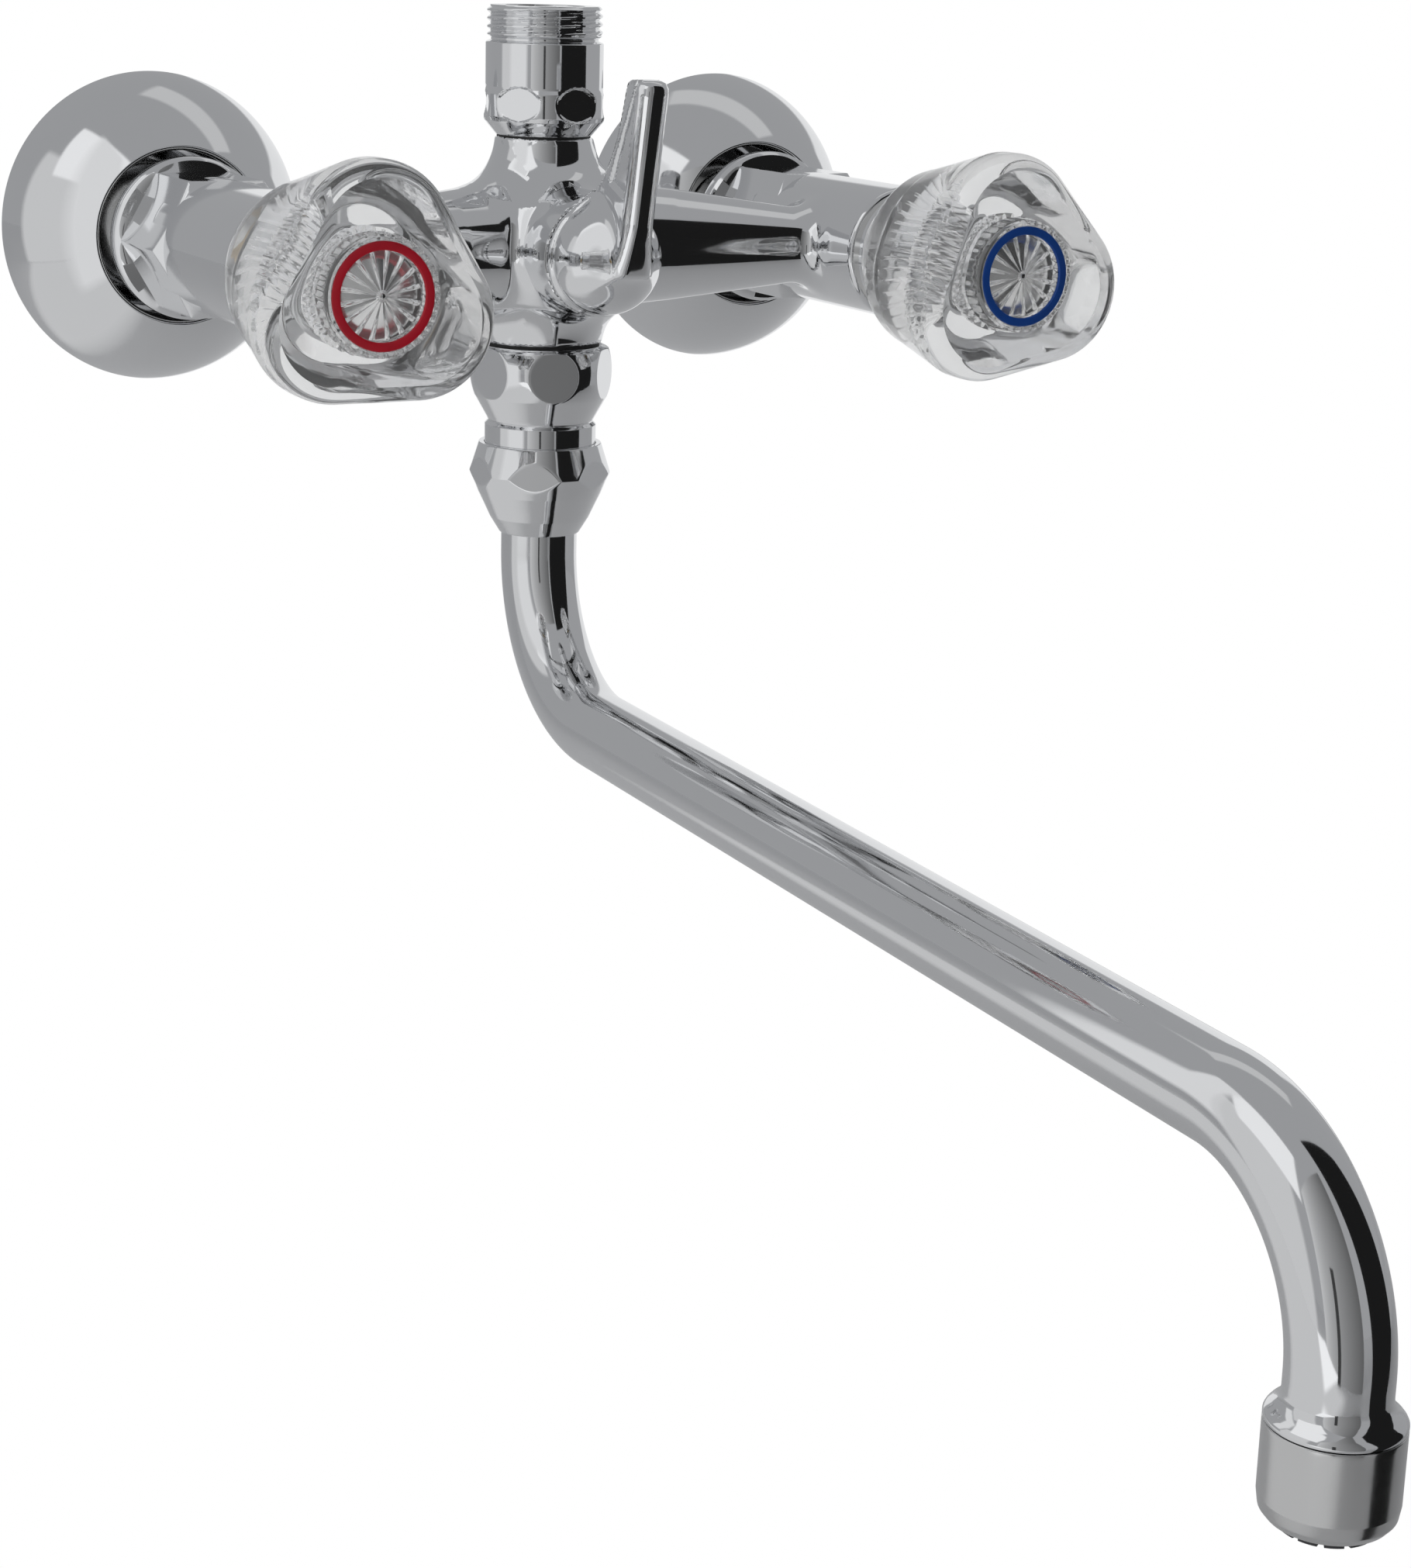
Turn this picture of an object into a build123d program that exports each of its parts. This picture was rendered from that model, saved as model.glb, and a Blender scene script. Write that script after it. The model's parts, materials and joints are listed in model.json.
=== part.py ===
from build123d import *
import os
from math import atan2, cos, degrees, hypot, radians, sin, sqrt

# A wall-mounted bath and shower mixer with two crystal handles, a lever
# diverter, a riser connection on top and a long swivel spout.
# X runs along the wall, +Y goes into the wall and +Z is up. The origin lies
# on the wall plane, midway between the two inlets. Sizes are millimetres.

# Fits
thread_gap = 0.10
running_gap = 0.10
face_gap = 0.10
loose_gap = 0.30
thread_chamfer = 0.8
edge_chamfer = 0.7
thread_relief = 0.4

# Inlets and their eccentric unions
inlet_spacing = 150.0
eccentric_offset = 8.0
wall_thread_radius = 10.48
wall_thread_length = 20.0
wall_bore_radius = 7.5
throat_length = 7.5
union_thread_radius = 13.1
union_bore_radius = 9.5
eccentric_reach = 46.0

# Dome escutcheons
escutcheon_radius = 36.0
dome_sink = 7.6
dome_wall = 1.3
lip_radius = 20.5
lip_wall = 1.2
web_height = 10.7
web_thickness = 1.3
hub_depth = 2.7
hub_wall = 1.8

# Union nuts and the tails that they hold
gasket_thickness = 2.0
tail_length = 10.3
tail_flange_thickness = 2.4
tail_flange_radius = 12.6
tail_radius = 11.0
tail_bore_radius = 8.0
tail_collar_radius = 13.4
tail_collar_length = 2.0
tail_spigot_radius = 10.6
tail_spigot_length = 7.2
nut_length = 30.0
nut_lip_thickness = 5.4
nut_across_flats = 30.0
nut_chamfer = 1.7
nut_collar_radius = 18.5
nut_collar_length = 5.0
nut_collar_round = 1.5

# Cast body: barrel, arms, end cylinders and front boss
barrel_radius = 14.1
barrel_bottom = -22.1
neck_radius = 11.1
neck_top = 24.2
arm_sweep = 17.7
arm_root_step = 0.5
arm_overlap = 1.1397
arm_middle_radius = 12.9
arm_outer_radius = 8.6
arm_end_radius = 7.0
arm_bore_radius = 5.2
body_end_radius = 15.2
body_end_length = 39.2
body_edge_round = 0.8
end_blend = 5.0
middle_blend = 6.0
blend_margin = 0.5
boss_radius = 13.5
boss_length = 30.6
seat_wall = 3.0
seat_bore_radius = 6.5
valve_chamber_radius = 10.2

# Diverter chamber in the barrel
chamber_radius = 9.0
chamber_half_height = 14.0
chamber_seat_wall = 2.5
chamber_seat_radius = 6.5

# Headworks of the two valves
bonnet_thread_radius = 10.9
bonnet_thread_length = 13.5
bonnet_flange_radius = 14.4
bonnet_flange_thickness = 2.7
bonnet_neck_radius = 7.8
bonnet_neck_length = 10.2
shroud_radius = 15.0
shroud_length = 7.8
shroud_bead_length = 2.4
shroud_groove_depth = 0.8
shroud_groove_length = 1.2
shroud_front_radius = 13.0
spindle_thread_radius = 3.9
spindle_collar_radius = 5.8
spindle_collar_length = 2.6
spindle_journal_radius = 5.0
spindle_journal_length = 14.0
spindle_spline_radius = 4.0
spindle_spline_length = 20.0
spindle_tip_length = 12.9
spindle_seal_depth = 2.8
o_ring_wire = 1.4

# Valve plungers, which the spindles drive along their axes
plunger_across_flats = 12.0
plunger_stem_length = 14.4
plunger_floor_thickness = 2.5
plunger_cup_radius = 8.4
plunger_cup_thickness = 2.5
valve_washer_radius = 8.0
valve_washer_thickness = 3.4
washer_screw_radius = 1.9
washer_screw_length = 4.0
washer_screw_head_radius = 3.4
washer_screw_head_thickness = 1.3

# Crystal knobs
knob_start = 14.5
knob_length = 35.0
knob_side_radius = 21.4
knob_lobe_radius = 26.5
knob_back_radius = 20.6
knob_widest = 27.0
knob_front_side_radius = 17.9
knob_front_lobe_radius = 23.0
cold_knob_turn = 11.7
dish_depth = 4.5
dish_floor_width = 1.0
knob_insert_radius = 11.7
knob_insert_skirt = 14.0
knob_grip_radius = 10.6
knob_grip_length = 12.4
flute_count = 36
flute_radius = 0.45
knob_screw_radius = 2.0
knob_screw_head_radius = 4.3
knob_screw_head_thickness = 3.0
knob_screw_length = 14.0
knob_screw_web = 3.5
cap_radius = 12.2
cap_proud = 0.35
cap_wall = 1.2
index_ring_outer = 10.87
index_ring_inner = 9.03
index_ring_thickness = 0.75
star_thickness = 0.5
star_dish = 0.3

# Riser connection on top of the barrel
riser_washer_thickness = 0.7
riser_cone_length = 3.2
riser_band_radius = 14.1
riser_band_length = 7.2
riser_across_flats = 26.0
riser_flat_turn = 9.5
riser_shank_radius = 13.5
riser_shank_length = 10.7
riser_thread_radius = 13.2
riser_thread_length = 7.7
riser_bore_radius = 9.2
riser_spigot_radius = 8.5
riser_spigot_length = 6.6

# Spout adaptor under the barrel
adaptor_washer_thickness = 0.8
adaptor_washer_radius = 13.6
adaptor_ball_radius = 16.7
adaptor_ball_drop = 6.1
adaptor_across_flats = 31.16
adaptor_flat_turn = -12.8
adaptor_cone_start = 5.9
adaptor_cone_end = 11.1
adaptor_waist_radius = 12.7
adaptor_thread_radius = 13.1
adaptor_length = 31.1
adaptor_spigot_radius = 10.3
adaptor_spigot_length = 5.4
adaptor_bore_radius = 7.5
adaptor_socket_depth = 20.0

# Swivel spout with its union nut
spout_radius = 9.0
spout_wall = 1.0
spout_swivel_gap = 0.25
spout_socket_length = 18.0
spout_flange_radius = 11.7
spout_flange_thickness = 2.5
spout_drop = 18.2
spout_back_bend = 36.3
spout_run = 235.2
spout_fall = 1.35
spout_front_bend = 35.8
spout_turn = 0.4
spout_outlet_length = 7.8
spout_nut_top_radius = 14.4
spout_nut_widest_radius = 16.6
spout_nut_end_radius = 9.9
spout_nut_top = 8.0
spout_nut_widest = 1.0
spout_nut_end = 13.4
spout_nut_shoulder_step = 2.2
spout_nut_shoulder_drop = 5.4
spout_nut_across_flats = 30.8
spout_nut_turn = -29.5

# Aerator on the spout's outlet
outlet_collar_radius = 11.72
outlet_collar_length = 1.2
outlet_flare_length = 3.6
outlet_flare_radius = 9.9
outlet_spigot_radius = 10.2
outlet_spigot_length = 5.0
aerator_length = 17.4
aerator_round = 4.0
aerator_washer_thickness = 1.5
aerator_insert_radius = 8.6
aerator_insert_rim = 1.4
aerator_insert_proud = 1.0
aerator_flange_thickness = 2.0
aerator_notches = 12
aerator_notch_width = 1.6
aerator_notch_depth = 1.8

# Diverter lever, shaft and spool
lever_hub_radius = 13.1
lever_hub_length = 15.5
lever_rim_length = 1.5
lever_dome_radius = 12.4
lever_height = 40.0
lever_tip_reach = 27.0
lever_tip_depth = 8.7
lever_tip_slope = 2.0
lever_tip_fall = 0.4
lever_foot_reach = 18.0
lever_foot_drop = 2.4
lever_foot_depth = 14.0
lever_bend_height = 25.3
lever_bend_reach = 12.9
lever_heel_height = 12.5
lever_heel_reach = 0.6
lever_width = 6.0
lever_chamfer = 2.05
lever_recess_depth = 0.6
lever_recess_top = 36.3
lever_recess_bottom = 13.9
lever_recess_margin = 2.0
lever_recess_width = 7.6
lever_rear_rim = 1.4
lever_socket_depth = 10.0
lever_screw_radius = 1.9
lever_screw_inset = 1.0
diverter_bonnet_radius = 9.9
diverter_bonnet_length = 12.7
diverter_bore_radius = 7.0
shaft_radius = 5.0
shaft_collar_radius = 6.5
shaft_collar_length = 3.6
shaft_disc_radius = 6.0
crank_throw = 3.5
crank_pin_radius = 2.0
spool_seal_thickness = 2.5
spool_disc_thickness = 2.0
spool_radius = 8.0
spool_yoke_width = 15.0
spool_yoke_depth = 7.0
spool_slot_play = 0.85

# Places along the inlet axes, as distances from the wall
inlet_x = inlet_spacing / 2
dome_radius = hypot(escutcheon_radius, dome_sink)
tail_back = eccentric_reach + gasket_thickness
body_back = tail_back + tail_length
nut_front = tail_back + tail_flange_thickness + face_gap + nut_lip_thickness
nut_back = nut_front - nut_length
body_front = body_back + body_end_length
tail_pocket = tail_spigot_length + loose_gap
seat_front = body_back + tail_pocket + seat_wall
bonnet_back = body_front - bonnet_thread_length
bonnet_neck_start = body_front + bonnet_flange_thickness
bonnet_end = bonnet_neck_start + bonnet_neck_length
knob_back = body_front + knob_start
knob_front = knob_back + knob_length
dish_bottom = knob_front - dish_depth
cap_front = knob_front + cap_proud

# Places on the barrel
barrel_y = -body_back
boss_front = body_back + boss_length
adaptor_top = barrel_bottom - adaptor_washer_thickness
adaptor_bottom = adaptor_top - adaptor_length
spout_flange_top = adaptor_bottom - face_gap
spout_flange_bottom = spout_flange_top - spout_flange_thickness
seal_height = adaptor_bottom + adaptor_socket_depth / 2
riser_base = neck_top + riser_washer_thickness
riser_pocket = riser_spigot_length - riser_washer_thickness + loose_gap
adaptor_pocket = adaptor_spigot_length - adaptor_washer_thickness + loose_gap
diverter_bonnet_back = boss_front - diverter_bonnet_length
diverter_seal = boss_front - diverter_bonnet_length / 2
lever_back = boss_front + loose_gap
lever_screw_at = lever_back + lever_socket_depth / 2
collar_front = body_front - loose_gap
collar_back = collar_front - spindle_collar_length - 2 * face_gap
spindle_tip = collar_back - spindle_tip_length
journal_end = body_front + spindle_journal_length
spline_end = journal_end + spindle_spline_length
spindle_seal = bonnet_neck_start + spindle_seal_depth
skirt_end = knob_back + knob_insert_skirt
grip_end = skirt_end + knob_grip_length
screw_seat = spline_end + knob_screw_web
aerator_washer_top = -outlet_spigot_length - face_gap
aerator_washer_bottom = aerator_washer_top - aerator_washer_thickness
aerator_floor = aerator_washer_bottom - aerator_flange_thickness
spool_reach = chamber_half_height - crank_throw - spool_seal_thickness - face_gap


def post(radius, start, end):
    """A cylinder about Z from one height to another."""
    return Pos(0, 0, start) * Cylinder(radius, end - start, align=(Align.CENTER, Align.CENTER, Align.MIN))


def washer(outer, inner, start, end):
    """A flat ring about Z."""
    return post(outer, start, end) - post(inner, start - 1, end + 1)


def turned(*points):
    """A round piece about Z from the (radius, height) corners of its half section."""
    outline = Polyline(*[(radius, 0, height) for radius, height in points], close=True)
    return revolve(make_face(outline), Axis.Z)


def hexagon(across_flats, start, end, turn=0.0):
    """A hexagonal prism about Z with one flat towards the angle given from X."""
    shape = RegularPolygon(across_flats / 2, 6, major_radius=False, rotation=turn + 30)
    return Pos(0, 0, start) * extrude(shape, end - start)


def o_ring(inner_radius, height):
    """A rubber ring whose hole has the radius given."""
    return Pos(0, 0, height) * Torus(inner_radius + o_ring_wire / 2, o_ring_wire / 2)


def from_wall(shape, x=0.0):
    """Turns a piece made along +Z so that it stands out from the wall."""
    return Pos(x, 0, 0) * Rot(90, 0, 0) * shape


def on_barrel(shape):
    """Moves a piece made about Z onto the barrel's axis."""
    return Pos(0, barrel_y, 0) * shape


def eccentric():
    """The offset union that joins the pipe in the wall to the body's inlet."""
    low = Pos(0, -eccentric_offset, 0)
    high = Pos(0, 0, throat_length)
    solid = low * post(wall_thread_radius, -wall_thread_length, 0)
    solid += loft([low * Circle(wall_thread_radius), high * Circle(union_thread_radius)])
    solid += post(union_thread_radius, throat_length, eccentric_reach)
    solid -= low * post(wall_bore_radius, -wall_thread_length - 1, 0)
    solid -= loft([low * Circle(wall_bore_radius), high * Circle(union_bore_radius)])
    return solid - post(union_bore_radius, throat_length, eccentric_reach + 1)


def escutcheon():
    """A thin dome with a turned-in lip and a hub on the eccentric's thread."""
    centre = Pos(0, 0, -dome_sink)
    dome = centre * Sphere(dome_radius) & post(escutcheon_radius, 0, dome_radius)
    well = post(lip_radius, web_height, dome_radius)
    hub_radius = union_thread_radius + thread_gap + hub_wall
    hub = post(hub_radius, web_height - hub_depth, web_height + web_thickness)
    inside = centre * Sphere(dome_radius - dome_wall) - well - hub
    dome -= inside
    dome -= post(lip_radius - lip_wall, web_height + web_thickness, dome_radius)
    return dome - post(union_thread_radius + thread_gap, 0, dome_radius)


def inlet_nut():
    """The union nut: a collar at the back, six flats and a lip that holds the tail."""
    corner = nut_across_flats / sqrt(3)
    blank = turned(
        (0, nut_back + nut_collar_length - 0.5),
        (corner, nut_back + nut_collar_length - 0.5),
        (corner, nut_front - nut_chamfer),
        (nut_across_flats / 2, nut_front),
        (0, nut_front),
    )
    nut = blank & hexagon(nut_across_flats, nut_back, nut_front, 90)
    collar = post(nut_collar_radius, nut_back, nut_back + nut_collar_length)
    nut += fillet(collar.edges(), nut_collar_round)
    nut -= post(union_thread_radius + thread_gap, nut_back - 1, nut_front - nut_lip_thickness)
    return nut - post(tail_radius + running_gap, nut_back, nut_front + 1)


def inlet_gasket():
    """The fibre washer between the eccentric and the tail."""
    return washer(tail_flange_radius, union_bore_radius, eccentric_reach, tail_back)


def inlet_tail():
    """The flanged tail that is screwed into the back of the body."""
    tail = post(tail_flange_radius, tail_back, tail_back + tail_flange_thickness)
    tail += post(tail_radius, tail_back, body_back)
    tail += post(tail_collar_radius, body_back - tail_collar_length, body_back)
    tail += post(tail_spigot_radius, body_back, body_back + tail_spigot_length)
    return tail - post(tail_bore_radius, tail_back - 1, body_back + tail_spigot_length + 1)


def arm(length):
    """A round arm along +X from the barrel, which tapers towards its end."""
    taper = Spline(
        (0, barrel_radius + arm_root_step),
        (0.4 * inlet_x, arm_middle_radius),
        (0.62 * inlet_x, (arm_middle_radius + arm_outer_radius) / 2),
        (length - body_end_radius + arm_overlap, arm_outer_radius),
        tangents=[(1, 0), (1, -0.13)],
    )
    outline = taper + Polyline(taper @ 1, (length, arm_end_radius), (length, 0), (0, 0), taper @ 0)
    return revolve(make_face(outline), Axis.X)


def body_casting():
    """The cast body about the barrel's axis, with its water ways, valve seats and diverter chamber."""
    arm_length = hypot(inlet_x, arm_sweep)
    arm_turn = degrees(atan2(-arm_sweep, inlet_x))
    solid = post(barrel_radius, barrel_bottom, 0) + post(neck_radius, 0, neck_top)
    solid += from_wall(post(boss_radius, 0, boss_length))
    one_arm = Rot(180, 0, 0) * arm(arm_length)
    one_end = post(body_end_radius, 0, body_end_length)
    for side, turn in ((1, arm_turn), (-1, 180 - arm_turn)):
        solid += Rot(0, 0, turn) * one_arm
        solid += from_wall(one_end, side * inlet_x)
    seams = solid.edges().filter_by(GeomType.BSPLINE)
    outer = [edge for edge in seams if abs(edge.center().X) > 0.75 * inlet_x]
    solid = fillet(outer, end_blend)
    seams = solid.edges().filter_by(GeomType.BSPLINE)
    inner = [edge for edge in seams if abs(edge.center().X) < 0.25 * inlet_x]
    straight = min(neck_top, -barrel_bottom) - barrel_radius - arm_root_step - blend_margin
    solid = fillet(inner, min(middle_blend, straight))
    circles = solid.edges().filter_by(GeomType.CIRCLE)
    solid = fillet([edge for edge in circles if edge.length > 6 * body_end_radius], body_edge_round)

    way = Rot(0, 90, 0) * post(arm_bore_radius, 0, arm_length - valve_chamber_radius + seat_wall)
    chamber_start = tail_pocket + seat_wall
    thread_start = body_end_length - bonnet_thread_length
    inlet = post(tail_spigot_radius + thread_gap, -1, tail_pocket)
    inlet += post(seat_bore_radius, tail_pocket - 1, chamber_start + 1)
    inlet += post(valve_chamber_radius, chamber_start, thread_start)
    inlet += post(bonnet_thread_radius + thread_gap, thread_start - 0.5, body_end_length + 1)
    for side, turn in ((1, arm_turn), (-1, 180 - arm_turn)):
        solid -= Rot(0, 0, turn) * way
        solid -= from_wall(inlet, side * inlet_x)
    seat_depth = chamber_half_height + chamber_seat_wall
    chamber = post(chamber_radius, -chamber_half_height, chamber_half_height)
    chamber += post(chamber_seat_radius, -seat_depth - 1, seat_depth + 1)
    chamber += post(riser_spigot_radius + thread_gap, neck_top - riser_pocket, neck_top + 1)
    chamber += post(adaptor_spigot_radius + thread_gap, barrel_bottom - 1, barrel_bottom + adaptor_pocket)
    solid -= chamber
    front = post(diverter_bore_radius, 0, boss_length)
    front += post(diverter_bonnet_radius + thread_gap, boss_length - diverter_bonnet_length, boss_length + 1)
    return on_barrel(solid - from_wall(front))


def riser_washer():
    """The seal under the riser nipple."""
    radius = neck_radius - loose_gap
    return washer(radius, riser_spigot_radius + thread_gap, neck_top, riser_base)


def riser_nipple():
    """The threaded nipple on top, with six flats on its round band."""
    band_start = riser_base + riser_cone_length
    band_end = band_start + riser_band_length
    shank_end = band_end + riser_shank_length
    top = shank_end + riser_thread_length
    band = turned(
        (0, band_start),
        (riser_band_radius - edge_chamfer, band_start),
        (riser_band_radius, band_start + edge_chamfer),
        (riser_band_radius, band_end - edge_chamfer),
        (riser_band_radius - edge_chamfer, band_end),
        (0, band_end),
    )
    band &= hexagon(riser_across_flats, band_start, band_end, riser_flat_turn - 90)
    solid = band + turned(
        (0, riser_base - riser_spigot_length),
        (riser_spigot_radius, riser_base - riser_spigot_length),
        (riser_spigot_radius, riser_base),
        (neck_radius - 0.2, riser_base),
        (riser_across_flats / 2 - loose_gap, band_start),
        (riser_across_flats / 2 - loose_gap, band_end),
        (riser_shank_radius, band_end),
        (riser_shank_radius, shank_end - edge_chamfer),
        (riser_thread_radius - thread_chamfer, shank_end),
        (riser_thread_radius - thread_chamfer, shank_end + thread_relief),
        (riser_thread_radius, shank_end + thread_relief + thread_chamfer),
        (riser_thread_radius, top - thread_chamfer),
        (riser_thread_radius - thread_chamfer, top),
        (0, top),
    )
    solid -= post(chamber_seat_radius, riser_base - riser_spigot_length - 1, band_start)
    return solid - post(riser_bore_radius, band_start, top + 1)


def adaptor_washer():
    """The dark washer between the barrel and the spout adaptor."""
    inner = adaptor_spigot_radius + thread_gap
    return washer(adaptor_washer_radius, inner, adaptor_top, barrel_bottom)


def spout_adaptor():
    """The ball-shaped adaptor with six round flats, a waist and a thread."""
    ball_height = adaptor_top - adaptor_ball_drop
    rim_height = adaptor_top - edge_chamfer
    rim = sqrt(adaptor_ball_radius**2 - (adaptor_ball_drop - edge_chamfer) ** 2)
    low = ball_height - adaptor_cone_start
    low_rim = sqrt(adaptor_ball_radius**2 - adaptor_cone_start**2)
    waist = ball_height - adaptor_cone_end
    widest = (adaptor_ball_radius, 0, ball_height)
    ball = ThreePointArc((rim, 0, rim_height), widest, (low_rim, 0, low))
    outline = ball + Polyline(
        ball @ 1,
        (adaptor_waist_radius, 0, waist),
        (adaptor_waist_radius, 0, waist - thread_relief),
        (adaptor_thread_radius, 0, waist - thread_relief - thread_chamfer),
        (adaptor_thread_radius, 0, adaptor_bottom + thread_chamfer),
        (adaptor_thread_radius - thread_chamfer, 0, adaptor_bottom),
        (0, 0, adaptor_bottom),
        (0, 0, adaptor_top),
        (rim - edge_chamfer, 0, adaptor_top),
        ball @ 0,
    )
    solid = revolve(make_face(outline), Axis.Z)
    solid &= hexagon(adaptor_across_flats, adaptor_bottom, adaptor_top, adaptor_flat_turn - 90)
    solid += post(adaptor_spigot_radius, adaptor_top, adaptor_top + adaptor_spigot_length)
    socket_top = adaptor_bottom + adaptor_socket_depth
    solid -= post(spout_radius + spout_swivel_gap, adaptor_bottom - 1, socket_top)
    solid -= post(adaptor_bore_radius, socket_top - 1, adaptor_top + adaptor_spigot_length + 1)
    groove = spout_radius + running_gap + o_ring_wire
    half = o_ring_wire / 2 + running_gap
    return solid - post(groove, seal_height - half, seal_height + half)


def spout_o_ring():
    """The seal round the top of the spout, in the adaptor's groove."""
    return o_ring(spout_radius + running_gap / 2, seal_height)


def spout_nut():
    """The union nut that carries the spout and lets it swivel."""
    top = adaptor_bottom + spout_nut_top
    widest = adaptor_bottom + spout_nut_widest
    end = adaptor_bottom - spout_nut_end
    shoulder = ThreePointArc(
        (spout_nut_widest_radius, 0, widest),
        (spout_nut_widest_radius - spout_nut_shoulder_step, 0, widest - spout_nut_shoulder_drop),
        (spout_nut_end_radius, 0, end + edge_chamfer),
    )
    outline = shoulder + Polyline(
        shoulder @ 1,
        (spout_nut_end_radius - edge_chamfer, 0, end),
        (0, 0, end),
        (0, 0, top),
        (spout_nut_top_radius, 0, top),
        (spout_nut_widest_radius, 0, widest + edge_chamfer),
        shoulder @ 0,
    )
    solid = revolve(make_face(outline), Axis.Z)
    solid &= hexagon(spout_nut_across_flats, end, top, spout_nut_turn - 90)
    solid -= post(adaptor_thread_radius + thread_gap, spout_flange_top, top + 1)
    solid -= post(spout_flange_radius + running_gap, spout_flange_bottom - face_gap, spout_flange_top + 1)
    return solid - post(spout_radius + running_gap, end - 1, top)


def spout_path():
    """The spout's centre line, from its top in the adaptor to the outlet."""
    top = Vector(0, 0, adaptor_bottom + spout_socket_length)
    start = Vector(0, 0, adaptor_bottom - spout_drop)
    turn = 90 - spout_fall
    forward = Vector(0, -cos(radians(spout_fall)), -sin(radians(spout_fall)))
    first = Line(top, start)
    back = spout_bend(start, spout_back_bend, 0, turn)
    run = Line(back @ 1, back @ 1 + forward * spout_run)
    front = spout_bend(run @ 1, spout_front_bend, turn, 0)
    last = Line(front @ 1, front @ 1 - Vector(0, 0, spout_outlet_length))
    return first + back + run + front + last


def spout_bend(start, radius, tilt_before, tilt_after):
    """An arc in the YZ plane between two headings, as degrees forward of straight down."""
    side = 1 if tilt_after > tilt_before else -1
    centre = start + side * radius * heading(tilt_before + 90)
    middle = centre - side * radius * heading((tilt_before + tilt_after) / 2 + 90)
    end = centre - side * radius * heading(tilt_after + 90)
    return ThreePointArc(start, middle, end)


def heading(tilt):
    """A unit vector in the YZ plane, in degrees from straight down towards the front."""
    return Vector(0, -sin(radians(tilt)), -cos(radians(tilt)))


def spout_tube():
    """The long bent tube, with the collar and spigot at its outlet."""
    path = spout_path()
    start = Plane(path @ 0, z_dir=path % 0)
    tube = sweep(start * Circle(spout_radius), path=path)
    outlet = path @ 1
    flare = turned(
        (0, outlet_flare_length + outlet_collar_length),
        (spout_radius, outlet_flare_length + outlet_collar_length),
        (outlet_flare_radius, 0.45 * outlet_flare_length + outlet_collar_length),
        (outlet_collar_radius - loose_gap, outlet_collar_length),
        (outlet_collar_radius, outlet_collar_length - loose_gap),
        (outlet_collar_radius, 0),
        (outlet_spigot_radius, 0),
        (outlet_spigot_radius, -outlet_spigot_length),
        (0, -outlet_spigot_length),
    )
    bore = sweep(start * Circle(spout_radius - spout_wall), path=path)
    tube = tube + Pos(*outlet) * flare - bore
    return tube - Pos(*outlet) * post(spout_radius - spout_wall, -outlet_spigot_length - 1, 1)


def spout_flange_ring():
    """The ring brazed to the spout, which the union nut holds against the adaptor."""
    return washer(spout_flange_radius, spout_radius, spout_flange_bottom, spout_flange_top)


def aerator_housing():
    """The screwed housing at the outlet, open below."""
    solid = post(outlet_collar_radius, -aerator_length, -face_gap)
    solid = fillet(solid.edges().filter_by(GeomType.CIRCLE).sort_by(Axis.Z)[:1], aerator_round)
    solid -= post(outlet_spigot_radius + thread_gap, aerator_floor, 1)
    return solid - post(aerator_insert_radius, -aerator_length - 1, 0)


def aerator_washer():
    """The flat seal between the outlet spigot and the aerator's insert."""
    inner = spout_radius - spout_wall
    return washer(outlet_spigot_radius, inner, aerator_washer_bottom, aerator_washer_top)


def aerator_insert():
    """The dark flow insert: a flanged cup with a notched rim and a web of bars."""
    top = aerator_washer_bottom
    bottom = -aerator_length - aerator_insert_proud
    radius = aerator_insert_radius - running_gap
    inner = radius - aerator_insert_rim
    solid = post(outlet_spigot_radius, aerator_floor, top) + post(radius, bottom, top)
    solid -= post(inner, bottom - 1, aerator_floor - aerator_notch_depth)
    solid -= post(inner - aerator_insert_rim, bottom, top + 1)
    bar = Pos(0, 0, aerator_floor) * Box(2 * inner, aerator_insert_rim, aerator_notch_depth)
    for turn in range(0, 180, 45):
        solid += Rot(0, 0, turn) * bar
    notch = Pos(radius, 0, bottom) * Box(4 * aerator_insert_rim, aerator_notch_width, 2 * aerator_notch_depth)
    for index in range(aerator_notches):
        solid -= Rot(0, 0, index * 360 / aerator_notches) * notch
    return solid


def valve_bonnet():
    """The bonnet that guides the plunger's six sides and holds the spindle's collar."""
    solid = post(bonnet_thread_radius, bonnet_back, body_front)
    solid += post(bonnet_flange_radius, body_front + face_gap, bonnet_neck_start)
    solid += post(bonnet_thread_radius, body_front, bonnet_neck_start)
    solid += post(bonnet_neck_radius, body_front, bonnet_end)
    solid -= hexagon(plunger_across_flats + 2 * loose_gap, bonnet_back - 1, collar_back, 90)
    solid -= post(spindle_collar_radius + loose_gap, collar_back - 1, collar_front)
    return solid - post(spindle_journal_radius + running_gap, collar_back, bonnet_end + 1)


def bonnet_shroud():
    """The plated ring that covers the bonnet's neck behind the knob."""
    start = bonnet_neck_start + face_gap
    end = start + shroud_length
    bead_end = start + shroud_bead_length
    groove_end = bead_end + loose_gap + shroud_groove_length
    groove_radius = shroud_radius - shroud_groove_depth
    solid = turned(
        (0, start),
        (shroud_radius - edge_chamfer, start),
        (shroud_radius, start + edge_chamfer),
        (shroud_radius, bead_end),
        (groove_radius, bead_end + loose_gap),
        (groove_radius, groove_end - loose_gap),
        (shroud_radius - loose_gap, groove_end),
        (shroud_front_radius + edge_chamfer, end - edge_chamfer),
        (shroud_front_radius, end),
        (0, end),
    )
    return solid - post(bonnet_neck_radius, start - 1, end + 1)


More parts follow.
